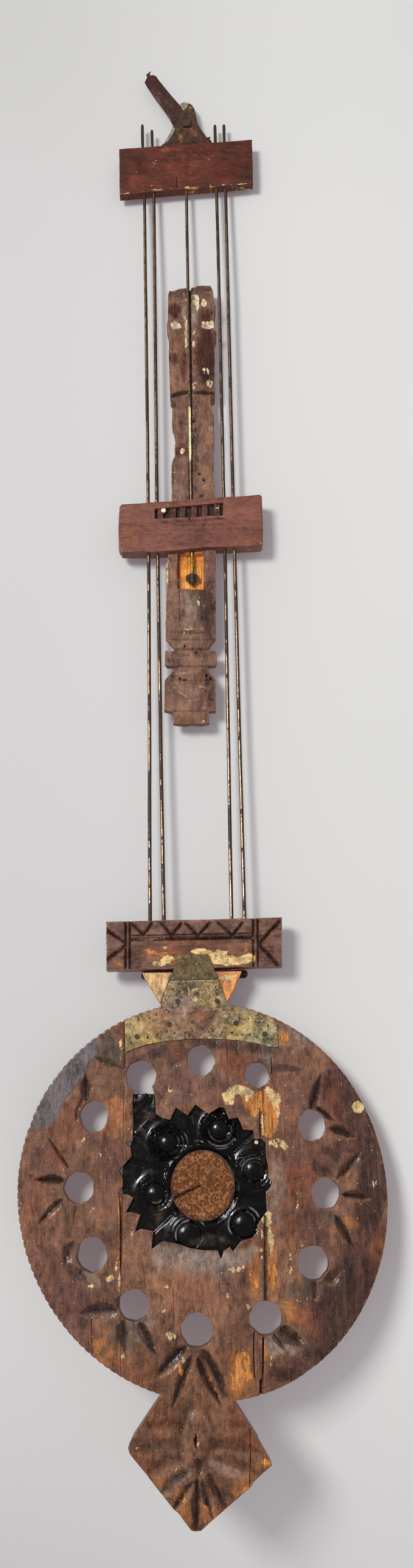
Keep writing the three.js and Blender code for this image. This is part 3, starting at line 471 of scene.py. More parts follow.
def stained(points, strokes):
    """Colour and cover of oval stains laid over each other: name, amount, x, y, width, height, turn."""
    colour = np.zeros((len(points), 3))
    cover = np.zeros(len(points))
    for name, amount, x, y, wide, high, *turn in strokes:
        share = amount * spot(points, (x, y), (wide, high), sum(turn), 0.5, 0.5)
        colour = colour * (1 - share[:, None]) + tone(name) * share[:, None]
        cover = 1 - (1 - cover) * (1 - share)
    return np.column_stack([colour / np.maximum(cover, 1e-6)[:, None], cover])


def hue(r, g, b):
    """A colour as it shows on screen, from 0 to 255, made linear."""
    made = []
    for c in (r, g, b):
        c = c / 255
        made.append(((c + 0.055) / 1.055) ** 2.4 if c > 0.04045 else c / 12.92)
    return (*made, 1.0)


def ovals(points, strokes):
    """The strongest of soft ovals at each point: amount, x, y, width, height, turn."""
    total = np.zeros(len(points))
    for amount, x, y, wide, high, *turn in strokes:
        total = np.maximum(total, amount * spot(points, (x, y), (wide, high), sum(turn), 0.35, 0.55))
    return total


def coat(points, side, stains, bare=0.0, cream=0.0, shade_and_dirt=0.0, patches=()):
    """Finish and stain of each point. Both fade on the walls and stop at the back."""
    front = np.where(side < 0.5, 1.0, np.where(side < 1.5, 0.6, 0.0))
    stain = stained(points, stains)
    for name, amount in patches:
        stain[:, :3] = stain[:, :3] * (1 - amount[:, None]) + tone(name) * amount[:, None]
        stain[:, 3] = 1 - (1 - stain[:, 3]) * (1 - amount)
    stain[:, 3] *= front
    return np.column_stack([bare * front, cream * front, shade_and_dirt * front, front]), stain


def patch(points, loop, soft=1.2):
    """1 inside a traced outline, fading over its edge."""
    gap, _ = distance_to(points, loop, closed=True)
    return smooth(-soft, soft, np.where(inside(points, np.asarray(loop)), gap, -gap))


def shown(points, y):
    """Where places (x, z) at depth y show in the photograph."""
    x = points[:, 0] - CAMERA_PLACE[0]
    z = points[:, 1] - CAMERA_PLACE[2]
    ray = np.column_stack([x, np.full(len(x), y - CAMERA_PLACE[1]), z])
    far = ray @ CAMERA_FORWARD / FOCAL
    across = PHOTO_WIDTH / 2 + ray @ CAMERA_RIGHT / far
    down = PHOTO_HEIGHT / 2 - ray @ CAMERA_UP / far
    return np.column_stack([across, down])


# Cut-off corners smaller than this, in square millimetres, are left out
SLIVER = 15


def split(loops, cuts, which):
    """The region inside the first loop and outside the others, cut up along the cuts."""
    points = np.vstack(loops + cuts)
    edges, start = [], 0
    for i, line in enumerate(loops + cuts):
        n = len(line)
        closed = i < len(loops)
        edges += [(start + k, start + (k + 1) % n) for k in range(n if closed else n - 1)]
        start += n
    made, _, faces, _, _, _ = delaunay_2d_cdt([Vector(p) for p in points], edges, [], 0, 1e-5)
    made = np.array([tuple(p) for p in made])
    triangles = np.array(faces)
    middle = made[triangles].mean(axis=1)
    keep = in_material(middle, loops)
    triangles, _ = turned_alike(made, triangles[keep])
    group = which(middle[keep])
    parts = []
    for g in sorted(set(group.tolist())):
        sides = set()
        for t in triangles[group == g].tolist():
            sides |= {(t[0], t[1]), (t[1], t[2]), (t[2], t[0])}
        follow = {i: j for i, j in sides if (j, i) not in sides}
        outlines = []
        while follow:
            first, here = follow.popitem()
            line = [first]
            while here != first and here in follow:
                line.append(here)
                here = follow.pop(here)
            outlines.append(made[line])
        solid = sorted((o for o in outlines if loop_area(o) > SLIVER), key=lambda o: -loop_area(o))
        bores = [o for o in outlines if loop_area(o) < -SLIVER]
        parts.append([(o, [b for b in bores if inside(b[:1], o)[0]]) for o in solid])
    return parts


# Materials
class Nodes:
    """Makes and joins the nodes of one material or group."""

    def __init__(self, tree):
        self.tree = tree

    def make(self, kind, inputs=None, **settings):
        node = self.tree.nodes.new(kind)
        for name, value in settings.items():
            setattr(node, name, value)
        for key, value in (inputs or {}).items():
            self.feed(node.inputs[key], value)
        return node

    def feed(self, socket, value):
        """Joins another node's socket, or sets the constant."""
        if isinstance(value, bpy.types.NodeSocket):
            self.tree.links.new(value, socket)
        else:
            socket.default_value = value

    def math(self, operation, a, b=0.0, clamp=False):
        return self.make("ShaderNodeMath", {0: a, 1: b}, operation=operation, use_clamp=clamp).outputs[0]

    def mix(self, share, a, b, blend="MIX"):
        inputs = {0: share, 6: a, 7: b}
        return self.make("ShaderNodeMix", inputs, data_type="RGBA", blend_type=blend).outputs[2]

    def join(self, value, socket):
        self.tree.links.new(value, socket)

    def span(self, value, low, high, to_low=0.0, to_high=1.0):
        inputs = {0: value, 1: low, 2: high, 3: to_low, 4: to_high}
        return self.make("ShaderNodeMapRange", inputs, interpolation_type="SMOOTHSTEP").outputs[0]

    def noise(self, vector, scale, detail=3.0, roughness=0.55, distortion=0.0):
        inputs = {"Vector": vector, "Scale": scale, "Detail": detail, "Roughness": roughness}
        inputs["Distortion"] = distortion
        return self.make("ShaderNodeTexNoise", inputs).outputs[0]

    def stretched(self, vector, by):
        return self.make("ShaderNodeVectorMath", {0: vector, 1: by}, operation="MULTIPLY").outputs[0]


def shader_group(name, takes, gives):
    tree = bpy.data.node_groups.new(name, "ShaderNodeTree")
    for socket_name, kind, value in takes:
        socket = tree.interface.new_socket(socket_name, in_out="INPUT", socket_type=kind)
        if value is not None:
            socket.default_value = value
    for socket_name, kind in gives:
        tree.interface.new_socket(socket_name, in_out="OUTPUT", socket_type=kind)
    nodes = Nodes(tree)
    return tree, nodes, nodes.make("NodeGroupInput"), nodes.make("NodeGroupOutput")


VECTOR, FLOAT, COLOUR = "NodeSocketVector", "NodeSocketFloat", "NodeSocketColor"


def wood_figure_group():
    """Streaks, fibres and pores that run along the grain."""
    takes = [("Vector", VECTOR, None), ("Stretch", VECTOR, (1.0, 1.0, 0.08))]
    gives = [("Streaks", FLOAT), ("Fibres", FLOAT), ("Pores", FLOAT), ("Height", FLOAT)]
    tree, n, given, out = shader_group("wood figure", takes, gives)
    along = n.stretched(given.outputs["Vector"], given.outputs["Stretch"])
    streaks = n.noise(along, 90.0, 4.0, 0.6, 0.8)
    fibres = n.noise(along, 620.0, 4.0, 0.65, 0.3)
    pores = n.span(n.noise(along, 1500.0, 2.0, 0.5), 0.60, 0.72)
    height = n.math("SUBTRACT", fibres, n.math("MULTIPLY", pores, 0.6))
    for socket, value in (("Streaks", streaks), ("Fibres", fibres), ("Pores", pores), ("Height", height)):
        n.join(value, out.inputs[socket])
    return tree


def ragged_mask_group():
    """A soft amount turned into a patch with a torn, flaky edge."""
    takes = [
        ("Amount", FLOAT, 0.0), ("Vector", VECTOR, None), ("Scale", FLOAT, 300.0),
        ("Raggedness", FLOAT, 0.8),
    ]
    tree, n, given, out = shader_group("ragged mask", takes, [("Mask", FLOAT)])
    torn = n.noise(given.outputs["Vector"], given.outputs["Scale"], 5.0, 0.65, 0.4)
    shift = n.math("MULTIPLY", n.math("SUBTRACT", torn, 0.5), given.outputs["Raggedness"])
    shift = n.math("MULTIPLY", shift, 2.0)
    value = n.math("ADD", given.outputs["Amount"], shift)
    n.join(n.span(value, 0.44, 0.56), out.inputs["Mask"])
    return tree


def clouds_group():
    """Slow changes of tone, and small pale specks of plaster and dust."""
    takes = [("Vector", VECTOR, None), ("Scale", FLOAT, 60.0), ("Speck Amount", FLOAT, 0.5)]
    tree, n, given, out = shader_group("clouds and specks", takes, [("Clouds", FLOAT), ("Specks", FLOAT)])
    clouds = n.noise(given.outputs["Vector"], given.outputs["Scale"], 5.0, 0.6, 0.5)
    dots = n.noise(given.outputs["Vector"], 520.0, 2.0, 0.5)
    fields = n.noise(given.outputs["Vector"], 45.0, 2.0, 0.5)
    level = n.math("ADD", dots, n.math("MULTIPLY", fields, 0.25))
    level = n.math("ADD", level, n.math("MULTIPLY", given.outputs["Speck Amount"], 0.1))
    n.join(n.span(clouds, 0.3, 0.7), out.inputs["Clouds"])
    n.join(n.span(level, 0.93, 0.97), out.inputs["Specks"])
    return tree


WOOD_FIGURE = wood_figure_group()
RAGGED_MASK = ragged_mask_group()
CLOUDS = clouds_group()


def empty_nodes(owner):
    """The emptied node tree of a material or of the world."""
    owner.use_nodes = True
    owner.node_tree.nodes.clear()
    return Nodes(owner.node_tree)


def start_material(name, gloss=0.5):
    """A material with its shader, and the place on the object that its patterns start from."""
    material = bpy.data.materials.new(name)
    n = empty_nodes(material)
    shader = n.make("ShaderNodeBsdfPrincipled", {"Specular IOR Level": gloss})
    n.make("ShaderNodeOutputMaterial", {"Surface": shader.outputs[0]})
    place = n.make("ShaderNodeTexCoord").outputs["Object"]
    return material, n, shader, place


def placed(n, group, **inputs):
    """The outputs of a shared group, with spaces in the names of its inputs written as underscores."""
    node = n.make("ShaderNodeGroup", node_tree=group)
    for name, value in inputs.items():
        n.feed(node.inputs[name.replace("_", " ")], value)
    return node.outputs


def attribute(n, name):
    return n.make("ShaderNodeAttribute", attribute_name=name, attribute_type="GEOMETRY").outputs


def finish_parts(n):
    """How far a point is bare or rubbed bright, with painted highlight on the wires; how far it is cream; and
    how far it is darkened by dirt and painted shade, or dulled on metal.
    """
    return n.make("ShaderNodeSeparateColor", {0: attribute(n, "finish")["Color"]}).outputs


def bump(n, shader, height, strength, distance):
    made = n.make("ShaderNodeBump", {"Strength": strength, "Distance": distance, "Height": height})
    n.join(made.outputs[0], shader.inputs["Normal"])


def dimmed(colour, share):
    return hue(*[c * share for c in colour])


# How the grain of a piece stretches its figure
UPRIGHT, LEVEL = (1.0, 1.0, 0.07), (0.07, 1.0, 1.0)
# Dark of dirt in the pores, also used for dirt and painted shade in cuts, slots and holes
DIRT_AND_SHADE = (36, 23, 19)


def soft_mask_group():
    """A soft amount that keeps its soft edge but turns blotchy."""
    takes = [
        ("Amount", FLOAT, 0.0), ("Vector", VECTOR, None), ("Scale", FLOAT, 250.0), ("Blotch", FLOAT, 1.0),
    ]
    tree, n, given, out = shader_group("soft mask", takes, [("Mask", FLOAT)])
    amount = given.outputs["Amount"]
    torn = n.noise(given.outputs["Vector"], given.outputs["Scale"], 6.0, 0.65, 0.3)
    shift = n.math("MULTIPLY", n.math("SUBTRACT", torn, 0.5), given.outputs["Blotch"])
    room = n.math("MULTIPLY", amount, n.math("SUBTRACT", 1.0, amount))
    value = n.math("ADD", amount, n.math("MULTIPLY", n.math("MULTIPLY", shift, room), 9.0))
    n.join(n.span(value, 0.12, 0.88), out.inputs["Mask"])
    return tree


def mottle_group():
    """Light and dark mottling at three sizes, and fine scratches, to multiply a colour by."""
    takes = [("Vector", VECTOR, None), ("Stretch", VECTOR, (1.0, 1.0, 0.4)), ("Strength", FLOAT, 1.0)]
    tree, n, given, out = shader_group(
        "mottle", takes, [("Tone", COLOUR), ("Scratches", FLOAT), ("Value", FLOAT)],
    )
    along = n.stretched(given.outputs["Vector"], given.outputs["Stretch"])
    broad = n.noise(along, 110.0, 3.0, 0.5, 0.3)
    middle = n.noise(along, 330.0, 4.0, 0.6, 0.5)
    fine = n.noise(given.outputs["Vector"], 1150.0, 3.0, 0.6)
    total = n.math("ADD", n.math("MULTIPLY", broad, 0.8), n.math("MULTIPLY", middle, 0.9))
    total = n.math("ADD", total, n.math("MULTIPLY", fine, 0.8))
    swing = n.math("MULTIPLY", n.math("SUBTRACT", total, 1.25), given.outputs["Strength"])
    value = n.math("MAXIMUM", n.math("ADD", 1.0, n.math("MULTIPLY", swing, 2.1)), 0.22)
    warm = n.noise(given.outputs["Vector"], 150.0, 3.0, 0.6)
    red = n.math("MULTIPLY", value, n.span(warm, 0.3, 0.7, 0.94, 1.08))
    blue = n.math("MULTIPLY", value, n.span(warm, 0.3, 0.7, 1.1, 0.86))
    tone = n.make("ShaderNodeCombineColor", {0: red, 1: value, 2: blue}).outputs[0]
    thin = n.stretched(given.outputs["Vector"], (2.6, 1.0, 0.1))
    scratches = n.span(n.noise(thin, 700.0, 1.0, 0.5, 1.2), 0.73, 0.78)
    for socket, result in (("Tone", tone), ("Scratches", scratches), ("Value", value)):
        n.join(result, out.inputs[socket])
    return tree


SOFT_MASK = soft_mask_group()
MOTTLE = mottle_group()


def old_wood(
    name, deep, main, pale, grain, bare=(220, 150, 80), bare_deep=(166, 102, 52), cream=(238, 206, 150),
    roughness=(0.38, 0.62), polish=0.25, specks=0.35, mottle=1.0,
):
    """Old varnished wood with stains, bare patches, paint remains, and dirt and painted shade where a piece
    asks for them.
    """
    material, n, shader, place = start_material(name, 0.25)
    wood = placed(n, WOOD_FIGURE, Vector=place, Stretch=grain)
    cloud = placed(n, CLOUDS, Vector=place, Scale=55.0, Speck_Amount=specks)
    small_cloud = placed(n, CLOUDS, Vector=place, Scale=210.0, Speck_Amount=0.0)
    flecks = placed(
        n, MOTTLE, Vector=place, Stretch=tuple(0.55 if g < 0.5 else 1.0 for g in grain), Strength=mottle,
    )
    flaky = n.stretched(place, tuple(0.45 if g < 0.5 else 1.0 for g in grain))
    parts = finish_parts(n)
    stain, cover = attribute(n, "stain")["Color"], attribute(n, "cover")["Fac"]
    edge = attribute(n, "edge")["Fac"]

    colour = n.mix(n.span(wood["Streaks"], 0.34, 0.66), hue(*deep), hue(*main))
    colour = n.mix(n.math("MULTIPLY", cloud["Clouds"], 0.55), colour, hue(*pale))
    covered = placed(n, SOFT_MASK, Amount=cover, Vector=place, Scale=190.0, Blotch=0.9)
    colour = n.mix(covered["Mask"], colour, stain)
    colour = n.mix(n.span(wood["Fibres"], 0.4, 0.75, 0.0, 0.3), colour, hue(*pale))
    colour = n.mix(n.math("MULTIPLY", wood["Pores"], 0.35), colour, hue(*DIRT_AND_SHADE))
    colour = n.mix(1.0, colour, flecks["Tone"], "MULTIPLY")
    colour = n.mix(
        n.math("MULTIPLY", flecks["Scratches"], 0.3), colour, hue(*[min(c * 1.35, 255) for c in pale]),
    )
    worn = placed(
        n, RAGGED_MASK, Amount=n.math("MULTIPLY", edge, 0.6), Vector=place, Scale=260.0, Raggedness=0.9,
    )
    colour = n.mix(n.math("MULTIPLY", worn["Mask"], 0.45), colour, hue(*pale))
    bared = placed(n, RAGGED_MASK, Amount=parts[0], Vector=flaky, Scale=260.0, Raggedness=1.0)
    raw = n.mix(n.span(wood["Fibres"], 0.3, 0.7), hue(*bare), hue(*bare_deep))
    raw = n.mix(n.math("MULTIPLY", wood["Pores"], 0.5), raw, hue(*DIRT_AND_SHADE))
    raw = n.mix(1.0, raw, flecks["Tone"], "MULTIPLY")
    tinged = n.math("MULTIPLY", n.span(parts[0], 0.1, 0.7), 0.5)
    colour = n.mix(tinged, colour, hue(*bare_deep))
    colour = n.mix(n.math("MULTIPLY", bared["Mask"], 0.9), colour, raw)
    creamy = placed(n, RAGGED_MASK, Amount=parts[1], Vector=flaky, Scale=420.0, Raggedness=1.3)
    chalk = n.mix(n.span(flecks["Value"], 0.75, 1.2), dimmed(cream, 0.72), hue(*cream))
    colour = n.mix(creamy["Mask"], colour, chalk)
    # Dirt and painted shade, where the finish's dark part asks for them
    shade_and_dirt_mask = placed(n, SOFT_MASK, Amount=parts[2], Vector=place, Scale=260.0, Blotch=0.8)
    colour = n.mix(n.math("MULTIPLY", shade_and_dirt_mask["Mask"], 0.9), colour, hue(*DIRT_AND_SHADE))
    colour = n.mix(n.math("MULTIPLY", cloud["Specks"], 0.8), colour, hue(*cream))
    n.join(colour, shader.inputs["Base Color"])

    opened = n.math("MAXIMUM", bared["Mask"], creamy["Mask"])
    rough = n.span(wood["Fibres"], 0.3, 0.7, *roughness)
    rough = n.math("ADD", rough, n.math("MULTIPLY", opened, 0.28))
    rough = n.math("ADD", rough, n.math("MULTIPLY", wood["Pores"], 0.2), clamp=True)
    n.join(rough, shader.inputs["Roughness"])
    if polish:
        film = n.span(small_cloud["Clouds"], 0.2, 0.9, polish, 0.0)
        film = n.math("MULTIPLY", film, n.math("SUBTRACT", 1.0, opened))
        n.join(film, shader.inputs["Coat Weight"])
        shader.inputs["Coat Roughness"].default_value = 0.16
    dents = n.noise(place, 190.0, 4.0, 0.6)
    height = n.math("ADD", wood["Height"], n.math("MULTIPLY", dents, 1.7))
    height = n.math("ADD", height, n.math("MULTIPLY", creamy["Mask"], 0.4))
    height = n.math("SUBTRACT", height, n.math("MULTIPLY", bared["Mask"], 0.5))
    bump(n, shader, height, 0.75, 0.0004)
    return material


def black_lacquer():
    """Deep gloss black under stains that carry its thin olive film, painted sheen and painted ridge
    highlights, with pale specks of dust and fine handling marks.
    """
    material, n, shader, place = start_material("black lacquer", 0.32)
    cloud = placed(n, CLOUDS, Vector=place, Scale=120.0, Speck_Amount=0.1)
    parts = finish_parts(n)
    stain, cover = attribute(n, "stain")["Color"], attribute(n, "cover")["Fac"]
    colour = n.mix(cloud["Clouds"], hue(7, 5, 5), hue(15, 12, 12))
    covered = placed(n, SOFT_MASK, Amount=cover, Vector=place, Scale=140.0, Blotch=0.8)
    colour = n.mix(covered["Mask"], colour, stain)
    creamy = placed(n, RAGGED_MASK, Amount=parts[1], Vector=place, Scale=360.0, Raggedness=0.5)
    colour = n.mix(creamy["Mask"], colour, hue(226, 214, 160))
    colour = n.mix(n.math("MULTIPLY", cloud["Specks"], 0.35), colour, hue(150, 140, 120))
    n.join(colour, shader.inputs["Base Color"])
    film = n.noise(place, 260.0, 3.0)
    n.join(n.span(film, 0.3, 0.75, 0.14, 0.4), shader.inputs["Roughness"])
    shader.inputs["Coat Weight"].default_value = 0.14
    shader.inputs["Coat Roughness"].default_value = 0.06
    height = n.math("ADD", n.noise(place, 170.0, 2.0), n.math("MULTIPLY", n.noise(place, 900.0, 2.0), 0.08))
    bump(n, shader, height, 0.2, 0.0003)
    return material


def end_grain():
    """Speckled end grain: pale wood between dark pores, on faint year rings."""
    material, n, shader, place = start_material("end grain", 0.2)
    parts = finish_parts(n)
    pores = n.noise(place, 520.0, 3.0, 0.6, 0.6)
    fine = n.noise(place, 1300.0, 3.0, 0.6)
    cloud = placed(n, CLOUDS, Vector=place, Scale=90.0, Speck_Amount=0.0)
    colour = n.mix(cloud["Clouds"], hue(146, 90, 52), hue(174, 118, 76))
    speckle = n.span(n.math("ADD", pores, n.math("MULTIPLY", fine, 0.35)), 0.6, 0.76)
    colour = n.mix(n.math("MULTIPLY", speckle, 0.85), colour, hue(74, 40, 20))
    colour = n.mix(n.span(fine, 0.55, 0.75, 0.0, 0.5), colour, hue(200, 142, 92))
    creamy = placed(n, RAGGED_MASK, Amount=parts[1], Vector=place, Scale=360.0, Raggedness=0.3)
    colour = n.mix(creamy["Mask"], colour, hue(232, 214, 120))
    # The finish's dark part: dirt and painted shade, as in the plug's crack
    colour = n.mix(n.math("MULTIPLY", parts[2], 0.95, clamp=True), colour, hue(26, 15, 10))
    n.join(colour, shader.inputs["Base Color"])
    n.join(n.span(fine, 0.3, 0.7, 0.6, 0.9), shader.inputs["Roughness"])
    height = n.math("SUBTRACT", fine, n.math("MULTIPLY", speckle, 1.2))
    bump(n, shader, height, 0.8, 0.0005)
    return material


def old_metal(
    name, main, tarnish, crust, amount=0.5, crust_amount=0.3, roughness=(0.25, 0.5), mottle=0.6,
):
    """Metal under a tarnish skin, with crusts of verdigris or rust where its finish asks for them."""
    material, n, shader, place = start_material(name)
    cloud = placed(n, CLOUDS, Vector=place, Scale=95.0, Speck_Amount=0.0)
    fine = placed(n, CLOUDS, Vector=place, Scale=420.0, Speck_Amount=0.0)
    parts = finish_parts(n)
    dull = placed(
        n, RAGGED_MASK, Vector=place, Scale=130.0, Raggedness=0.9,
        Amount=n.math("SUBTRACT", n.math("ADD", amount, parts[2]), parts[0]),
    )
    crusty = placed(
        n, RAGGED_MASK, Vector=place, Scale=380.0, Raggedness=0.8,
        Amount=n.math("ADD", n.math("MULTIPLY", cloud["Clouds"], crust_amount), parts[1]),
    )
    skin = n.mix(fine["Clouds"], hue(*tarnish), dimmed(tarnish, 0.7))
    colour = n.mix(n.math("MULTIPLY", dull["Mask"], 0.9), hue(*main), skin)
    scale = n.mix(fine["Clouds"], hue(*crust), dimmed(crust, 0.75))
    colour = n.mix(crusty["Mask"], colour, scale)
    stain, cover = attribute(n, "stain")["Color"], attribute(n, "cover")["Fac"]
    covered = placed(n, SOFT_MASK, Amount=cover, Vector=place, Scale=260.0, Blotch=1.0)["Mask"]
    colour = n.mix(covered, colour, stain)
    flecks = placed(n, MOTTLE, Vector=place, Stretch=(1.0, 1.0, 1.0), Strength=mottle)
    colour = n.mix(1.0, colour, flecks["Tone"], "MULTIPLY")
    n.join(colour, shader.inputs["Base Color"])
    covered = n.math(
        "MAXIMUM", n.math("MULTIPLY", dull["Mask"], 0.6), n.math("MAXIMUM", crusty["Mask"], covered),
    )
    n.join(n.math("SUBTRACT", 1.0, covered), shader.inputs["Metallic"])
    rough = n.span(fine["Clouds"], 0.0, 1.0, *roughness)
    n.join(n.math("ADD", rough, n.math("MULTIPLY", covered, 0.3), clamp=True), shader.inputs["Roughness"])
    height = n.math("ADD", n.math("MULTIPLY", fine["Clouds"], 0.5), n.math("MULTIPLY", crusty["Mask"], 0.8))
    bump(n, shader, height, 0.6, 0.0002)
    return material


MATERIALS = {
    "red_wood": old_wood(
        "red wood", (78, 38, 28), (97, 47, 35), (113, 58, 42), LEVEL, polish=0.1, specks=0.1, mottle=0.6,
    ),
    "rose_wood": old_wood(
        "rose wood", (102, 62, 54), (127, 79, 67), (142, 91, 77), LEVEL, polish=0.1, specks=0.2, mottle=0.5,
    ),
    "carved_wood": old_wood(
        "carved wood", (78, 53, 44), (120, 83, 70), (150, 110, 94), LEVEL, polish=0.25, specks=0.2,
        mottle=0.9, cream=(250, 216, 150),
    ),
    "bob_wood": old_wood(
        "bob wood", (100, 65, 50), (117, 79, 60), (142, 100, 76), UPRIGHT, polish=0.3, specks=0.6,
    ),
    "batten_wood": old_wood(
        "batten wood", (34, 24, 20), (58, 38, 30), (78, 52, 38), LEVEL, polish=0.1, specks=0.2,
    ),
    "bare_wood": old_wood(
        "bare wood", (96, 66, 56), (124, 90, 76), (152, 118, 98), UPRIGHT, polish=0.0, specks=0.6,
        mottle=0.85,
        roughness=(0.6, 0.85), bare=(246, 182, 98), bare_deep=(212, 128, 58), cream=(244, 224, 180),
    ),
    "cork_wood": end_grain(),
    "black_lacquer": black_lacquer(),
    "brass_wire": old_metal(
        "brass wire", (186, 154, 126), (48, 32, 27), (84, 60, 44), 0.74, 0.15, (0.3, 0.46), mottle=0.3,
    ),
    "bright_brass": old_metal(
        "bright brass", (222, 178, 84), (160, 112, 40), (150, 140, 80), 0.3, 0.2, (0.25, 0.4), mottle=0.4,
    ),
    "olive_brass": old_metal(
        "olive brass", (160, 134, 92), (118, 98, 68), (138, 122, 88), 0.8, 0.4, (0.35, 0.6), mottle=1.0,
    ),
    "green_brass": old_metal(
        "green brass", (196, 170, 124), (158, 136, 101), (178, 160, 122), 0.7, 0.45, (0.35, 0.6), mottle=1.3,
    ),
    "maroon_iron": old_metal(
        "maroon iron", (130, 92, 82), (78, 48, 43), (96, 60, 50), 0.95, 0.35, (0.35, 0.55),
    ),
    "iron": old_metal("iron", (110, 104, 100), (58, 46, 40), (98, 62, 42), 0.7, 0.4, (0.3, 0.5)),
    "bone": old_wood(
        "bone", (226, 220, 204), (240, 236, 224), (246, 244, 236), UPRIGHT, polish=0.2, specks=0.0,
        mottle=0.2,
    ),
}


# Camera, backdrop and light
def make_camera():
    data = bpy.data.cameras.new("camera")
    data.lens = CAMERA_LENS
    data.sensor_width = SENSOR
    data.clip_start = 0.01
    camera = added("camera", data)
    turn = Matrix([CAMERA_RIGHT, CAMERA_UP, -CAMERA_FORWARD]).transposed().to_4x4()
    camera.matrix_world = Matrix.Translation(Vector(CAMERA_PLACE * MM)) @ turn
    bpy.context.scene.camera = camera


def seen_by_the_eye(n):
    """1 for rays from the camera, off gloss and through glass, 0 for the light on the object."""
    light = n.make("ShaderNodeLightPath").outputs
    either = n.math("MAXIMUM", light["Is Camera Ray"], light["Is Glossy Ray"])
    return n.math("MAXIMUM", either, light["Is Transmission Ray"])


# Light that comes back from a pale room into the shadows
SHEET_GLOW = 0.09


def make_backdrop():
    material = bpy.data.materials.new("pale sheet")
    n = empty_nodes(material)
    place = n.make("ShaderNodeTexCoord").outputs["Object"]
    tone = n.noise(place, 1.4, 2.0)
    colour = n.mix(n.span(tone, 0.3, 0.7), hue(204, 208, 203), hue(210, 213, 209))
    # Painted light: the sheet's colour is a little paler to the right and below
    where = n.make("ShaderNodeSeparateXYZ", {0: place}).outputs
    painted_light_level = n.math(
        "ADD", n.span(where["X"], -0.2, 0.2, 0.85, 1.09), n.span(where["Z"], -0.8, -1.0, 0.0, 0.16),
    )
    painted_light_tint = n.make("ShaderNodeCombineColor", {0: painted_light_level, 1: painted_light_level, 2: painted_light_level}).outputs[0]
    colour = n.mix(1.0, colour, painted_light_tint, "MULTIPLY")
    matt = n.make("ShaderNodeBsdfDiffuse", {"Color": colour})
    glow = n.make("ShaderNodeEmission", {"Color": (0.98, 0.76, 0.96, 1.0), "Strength": SHEET_GLOW})
    sheet = n.make("ShaderNodeAddShader", {0: matt.outputs[0], 1: glow.outputs[0]})
    clear = n.make("ShaderNodeBsdfTransparent")
    facing = n.math("SUBTRACT", 1.0, n.make("ShaderNodeNewGeometry").outputs["Backfacing"])
    share = n.math("MULTIPLY", seen_by_the_eye(n), facing)
    mixed = n.make("ShaderNodeMixShader", {0: share, 1: clear.outputs[0], 2: sheet.outputs[0]})
    n.make("ShaderNodeOutputMaterial", {"Surface": mixed.outputs[0]})
    # The sheet stands a little behind the object and curves away from it below the bob
    wide = 2600.0
    bend = np.linspace(60, -960, 35)
    heights = np.concatenate([np.linspace(1400, 100, 6), bend, np.linspace(-970, -1500, 54)])
    verts, faces = [], []
    for i, z in enumerate(heights):
        away = np.interp(-z, [-60, 50, 170, 580, 750, 850], [8.0, 9.7, 14.7, 15.5, 18.5, 15.2])
        away = away + 0.00095 * max(0.0, -z - 860.0) ** 2
        verts += [(-wide, away, z), (wide, away, z)]
        if i:
            faces.append((2 * i, 2 * i + 1, 2 * i - 1, 2 * i - 2))
    mesh = smooth_mesh("backdrop", verts, faces)
    backdrop = added("backdrop", mesh)
    mesh.materials.append(material)


# One soft window at the upper left, and the even light of a pale room
WINDOW_SIZE, WINDOW_POWER, WINDOW_DISTANCE = 0.72, 42.0, 2.5
WINDOW_TRAVEL, WINDOW_TARGET = (0.52, 1.0, -0.27), (0.0, 0.0, -0.7)
ROOM_LIGHT = 0.43


def make_light():
    key = bpy.data.lights.new("window", "AREA")
    key.shape = "DISK"
    key.size = WINDOW_SIZE
    key.energy = WINDOW_POWER
    lamp = added("window", key)
    travel = Vector(WINDOW_TRAVEL).normalized()
    lamp.location = Vector(WINDOW_TARGET) - travel * WINDOW_DISTANCE
    lamp.rotation_euler = travel.to_track_quat("-Z", "Y").to_euler()
    world = bpy.data.worlds.new("room")
    bpy.context.scene.world = world
    n = empty_nodes(world)
    # The pale sheet shows behind the object, and the dimmer room in front of it
    way = n.make("ShaderNodeSeparateXYZ", {0: n.make("ShaderNodeTexCoord").outputs["Generated"]}).outputs["Y"]
    shown_level = n.span(way, -0.3, 0.2, 0.16, 0.72)
    level = n.math("MULTIPLY", n.math("SUBTRACT", shown_level, ROOM_LIGHT), seen_by_the_eye(n))
    strength = n.math("ADD", level, ROOM_LIGHT)
    sky = n.make("ShaderNodeBackground", {"Color": (1.0, 0.955, 0.975, 1.0), "Strength": strength})
    n.make("ShaderNodeOutputWorld", {"Surface": sky.outputs[0]})


# The bob
BOB_FRONT, BOB_BACK = -7.0, 5.0
BOB_CENTRE = (0.0, -919.8)
